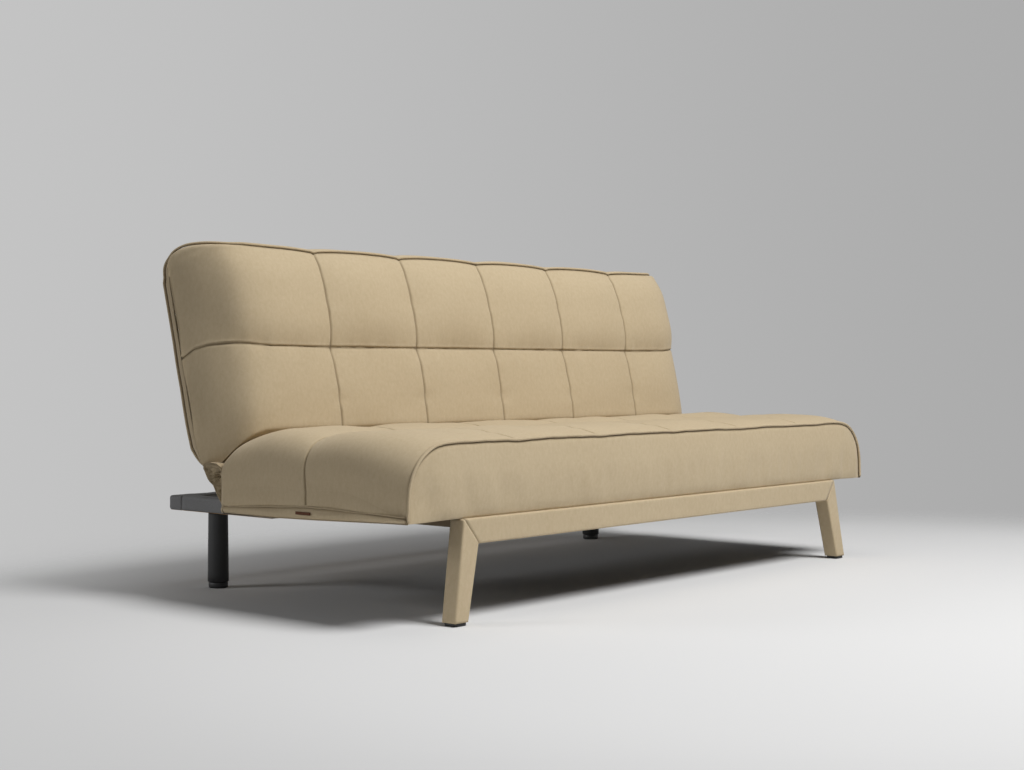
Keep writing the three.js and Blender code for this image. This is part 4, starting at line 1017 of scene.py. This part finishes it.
def makeHemCord(sign, side):  # the fine corded seam above the band under each end
    hem = {"start": -0.4685, "end": 0.084, "stand": 0.0031, "radius": 0.0012}
    ys = np.linspace(hem["start"], hem["end"], 90)
    zs = np.interp(ys, seat["hemYs"], seat["hems"])
    corner = 0.004 * np.clip((ys - 0.070) / 0.014, 0, 1) ** 2
    xs = sign * (seat["halfWidth"] + hem["stand"] - corner)
    path = np.column_stack([xs, ys, zs + 0.0014])
    path[:, 2] += 0.0006 * unevenness(path, 0.07, 29)
    settle(cordAlong("hem_cord_" + side, path, hem["radius"], 8), "cloth", "seat", "cloth")


def makeTag():
    low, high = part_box("seat_tag")
    low.z, high.z = low.z - 0.0034, high.z - 0.0048
    tag = {"stand": 0.0072, "thickness": 0.0009, "fold": 0.0006}
    rings = []
    for y in np.linspace(low.y, high.y, 24):
        share = (y - low.y) / (high.y - low.y)
        lift = tag["fold"] * math.sin(share * math.pi) + 0.0003 * math.sin(share * 17)
        inner = low.x - tag["stand"] + 0.0015 - lift
        outer, middle = inner - tag["thickness"], inner - tag["thickness"] * 1.2
        rings.append([(inner, y, low.z), (inner, y, high.z), (outer, y, high.z - 0.0004),
                      (middle, y, (low.z + high.z) / 2), (outer, y, low.z + 0.0004)])
    settle(loft("side_tag", rings), "tag", "seat", "tag", "seat_tag")


def makeDustCloth():
    low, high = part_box("seat_dust_cloth")
    cloth = {"sag": 0.0035, "wrinkle": 0.0004, "thickness": 0.0009}
    xs, ys = np.linspace(low.x, high.x, 121), np.linspace(low.y, high.y, 47)
    gridX, gridY = np.meshgrid(xs, ys, indexing="ij")
    shareX, shareY = (gridX - low.x) / (high.x - low.x), (gridY - low.y) / (high.y - low.y)
    inFromEdges = np.clip(np.minimum(shareX * 1.786 - 0.16, (1 - shareX) * 1.786 - 0.16) / 0.12, 0, 1)
    inFromEdges *= np.clip(np.minimum(shareY * 0.57 - 0.03, (1 - shareY) * 0.57 - 0.012) / 0.12, 0, 1)
    flat = np.stack([gridX.ravel(), gridY.ravel(), gridX.ravel() * 0], axis=1)
    drop = (cloth["sag"] + cloth["wrinkle"] * unevenness(flat, 0.12, 71)) * inFromEdges.ravel()
    top, bottom = flat.copy(), flat.copy()
    top[:, 2] = high.z - drop
    bottom[:, 2] = high.z - cloth["thickness"] - drop
    rows, count = gridX.shape
    faces = gridFaces(rows, count, False) + gridFaces(rows, count, False, offset=rows * count, flip=True)
    border = list(range(count)) + [i * count + count - 1 for i in range(1, rows)]
    border += [(rows - 1) * count + j for j in reversed(range(count - 1))]
    border += [i * count for i in reversed(range(1, rows - 1))]
    shift = rows * count
    for a, b in zip(border, border[1:] + border[:1]):
        faces.append([b, a, a + shift, b + shift])
    piece = faceOutwards(meshPiece("under_cloth", np.concatenate([top, bottom]), faces))
    settle(piece, "dustCloth", "seat", "dust_cloth", "seat_dust_cloth")


# The hidden frame, padding and mechanism keep their own solids
plainNodes = {
    "stainedWood": ["base_cross_", "base_slat_"],
    "wood": ["base_rail_", "front_rail", "front_leg_left", "front_leg_right", "seat_rail_",
             "seat_deck", "back_rail_", "back_deck"],
    "foam": ["seat_foam", "back_foam"],
    "steel": ["base_bracket_", "pivot_", "pawl_", "seat_arm_", "back_arm_"],
}


def dressFrame():
    for finish, starts in plainNodes.items():
        for name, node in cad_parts.items():
            if name != "front_rail_cover" and name.startswith(tuple(starts)):
                dress(node, finish)


# Floor, background, lamps and camera
studio = {
    "floorRadii": [1.0, 2.0, 3.5, 5.5, 9.0], "floorSides": 96, "floorColour": srgb(222, 222, 222),
    "fadeStart": 1.3, "fadeEnd": 2.7, "fadeCentre": (0.1, -0.9),
    "rightward": (0.6538, -0.7567, 0), "wallTurn": 0.45, "wallLeft": 0.560, "wallRight": 0.400, "fill": 0.07,
}
lamps = {
    "key": {"place": (0.25, -2.85, 4.2), "size": 2.2, "power": 229, "aim": (0.0, -0.1, 0.4)},
    "overhead": {"place": (0.3, 0.2, 3.6), "size": 2.4, "power": 10, "aim": (0, 0, 0.3)},
    "side": {"place": (-4.2, 2.6, 1.9), "size": 1.6, "power": 46, "aim": (-0.9, 0.2, 0.5)},
}


def makeFloor():
    sides = studio["floorSides"]
    angles = np.arange(sides) * 2 * math.pi / sides
    points = [(0, 0, 0)] + [(r * math.cos(a), r * math.sin(a), 0) for r in studio["floorRadii"] for a in angles]
    faces = [[0, 1 + j, 1 + (j + 1) % sides] for j in range(sides)]
    for ring in range(len(studio["floorRadii"]) - 1):
        start = 1 + ring * sides
        for j in range(sides):
            k = (j + 1) % sides
            faces.append([start + j, start + j + sides, start + k + sides, start + k])
    floor = meshPiece("studio_floor", points, faces, smooth=False)
    graph = Graph(bpy.data.materials.new("studio_floor"))
    centre = graph.node("ShaderNodeTexCoord", output="Object")
    fadeCentre = (*studio["fadeCentre"], 0)
    away = graph.node("ShaderNodeVectorMath", {"operation": "DISTANCE"}, {0: centre, 1: fadeCentre}, output=1)
    fade = graph.node("ShaderNodeMapRange", {"interpolation_type": "SMOOTHERSTEP"}, {
        "Value": away, "From Min": studio["fadeStart"], "From Max": studio["fadeEnd"]})
    lit = graph.node("ShaderNodeBsdfDiffuse", inputs={"Color": studio["floorColour"]})
    clear = graph.node("ShaderNodeBsdfTransparent")
    surface = graph.node("ShaderNodeMixShader", inputs={0: fade, 1: lit, 2: clear})
    graph.node("ShaderNodeOutputMaterial", inputs={"Surface": surface})
    floor.data.materials.append(graph.owner)


def makeWorld():
    world = bpy.data.worlds.new("studio")
    shown.world = world
    graph = Graph(world)
    way = graph.node("ShaderNodeTexCoord", output="Generated")
    across = graph.node("ShaderNodeVectorMath", {"operation": "DOT_PRODUCT"},
                        {0: way, 1: studio["rightward"]}, output=1)
    share = graph.node("ShaderNodeMapRange", {"interpolation_type": "SMOOTHSTEP"}, {
        "Value": across, "From Min": -studio["wallTurn"], "From Max": studio["wallTurn"],
        "To Min": studio["wallLeft"], "To Max": studio["wallRight"]})
    rays = [graph.node("ShaderNodeLightPath", output=f"Is {kind} Ray") for kind in ("Camera", "Glossy", "Transmission")]
    seen = graph.node("ShaderNodeMath", {"operation": "MINIMUM"}, {0: rays[0] + rays[1] + rays[2], 1: 1.0})
    wall = graph.node("ShaderNodeBackground", inputs={"Color": (1, 1, 1, 1), "Strength": share})
    fill = graph.node("ShaderNodeBackground", inputs={"Color": (1, 1, 1, 1), "Strength": studio["fill"]})
    both = graph.node("ShaderNodeMixShader", inputs={0: seen, 1: fill, 2: wall})
    graph.node("ShaderNodeOutputWorld", inputs={"Surface": both})


def makeLamp(name, place, size, power, aim):
    data = bpy.data.lights.new(name, "AREA")
    data.shape, data.size, data.energy = "DISK", size, power
    lamp = bpy.data.objects.new(name, data)
    shown.collection.objects.link(lamp)
    lamp.location = place
    lamp.rotation_mode = "QUATERNION"
    lamp.rotation_quaternion = (Vector(aim) - Vector(place)).to_track_quat("-Z", "Y")


camera = {"place": (-3.1438, -2.6752, 0.5223), "yaw": 49.17, "pitch": -0.596, "lens": 56.21, "sensor": 36, "reach": 200}


def makeCamera():
    data = bpy.data.cameras.new("camera")
    data.lens, data.sensor_width, data.clip_end = camera["lens"], camera["sensor"], camera["reach"]
    eye = bpy.data.objects.new("camera", data)
    shown.collection.objects.link(eye)
    yaw, pitch = math.radians(camera["yaw"]), math.radians(camera["pitch"])
    ahead = Vector((math.sin(yaw) * math.cos(pitch), math.cos(yaw) * math.cos(pitch), math.sin(pitch)))
    eye.location = camera["place"]
    eye.rotation_mode = "QUATERNION"
    eye.rotation_quaternion = ahead.to_track_quat("-Z", "Y")
    shown.camera = eye


makeSeatPiping(makeSeatCushion())
makeHemCord(-1, "left")
makeHemCord(1, "right")
makeBackPiping(makeBackCushion())
makeBackPadding()
makeRailCover()
for sign, side in ((-1, "left"), (1, "right")):
    makeLegCover(sign, side)
    makeRoundLeg(sign, side)
    makeGlide(side)
print("legs made")
for name in ("left", "right", "rear"):
    makeFeltRail(name)
for side in ("left", "middle", "right"):
    makeGather(side)
makeTag()
makeDustCloth()
dressFrame()
print("frame dressed")
makeFloor()
makeWorld()
for name, lamp in lamps.items():
    makeLamp(name, **lamp)
makeCamera()
shown.view_settings.view_transform = "Standard"
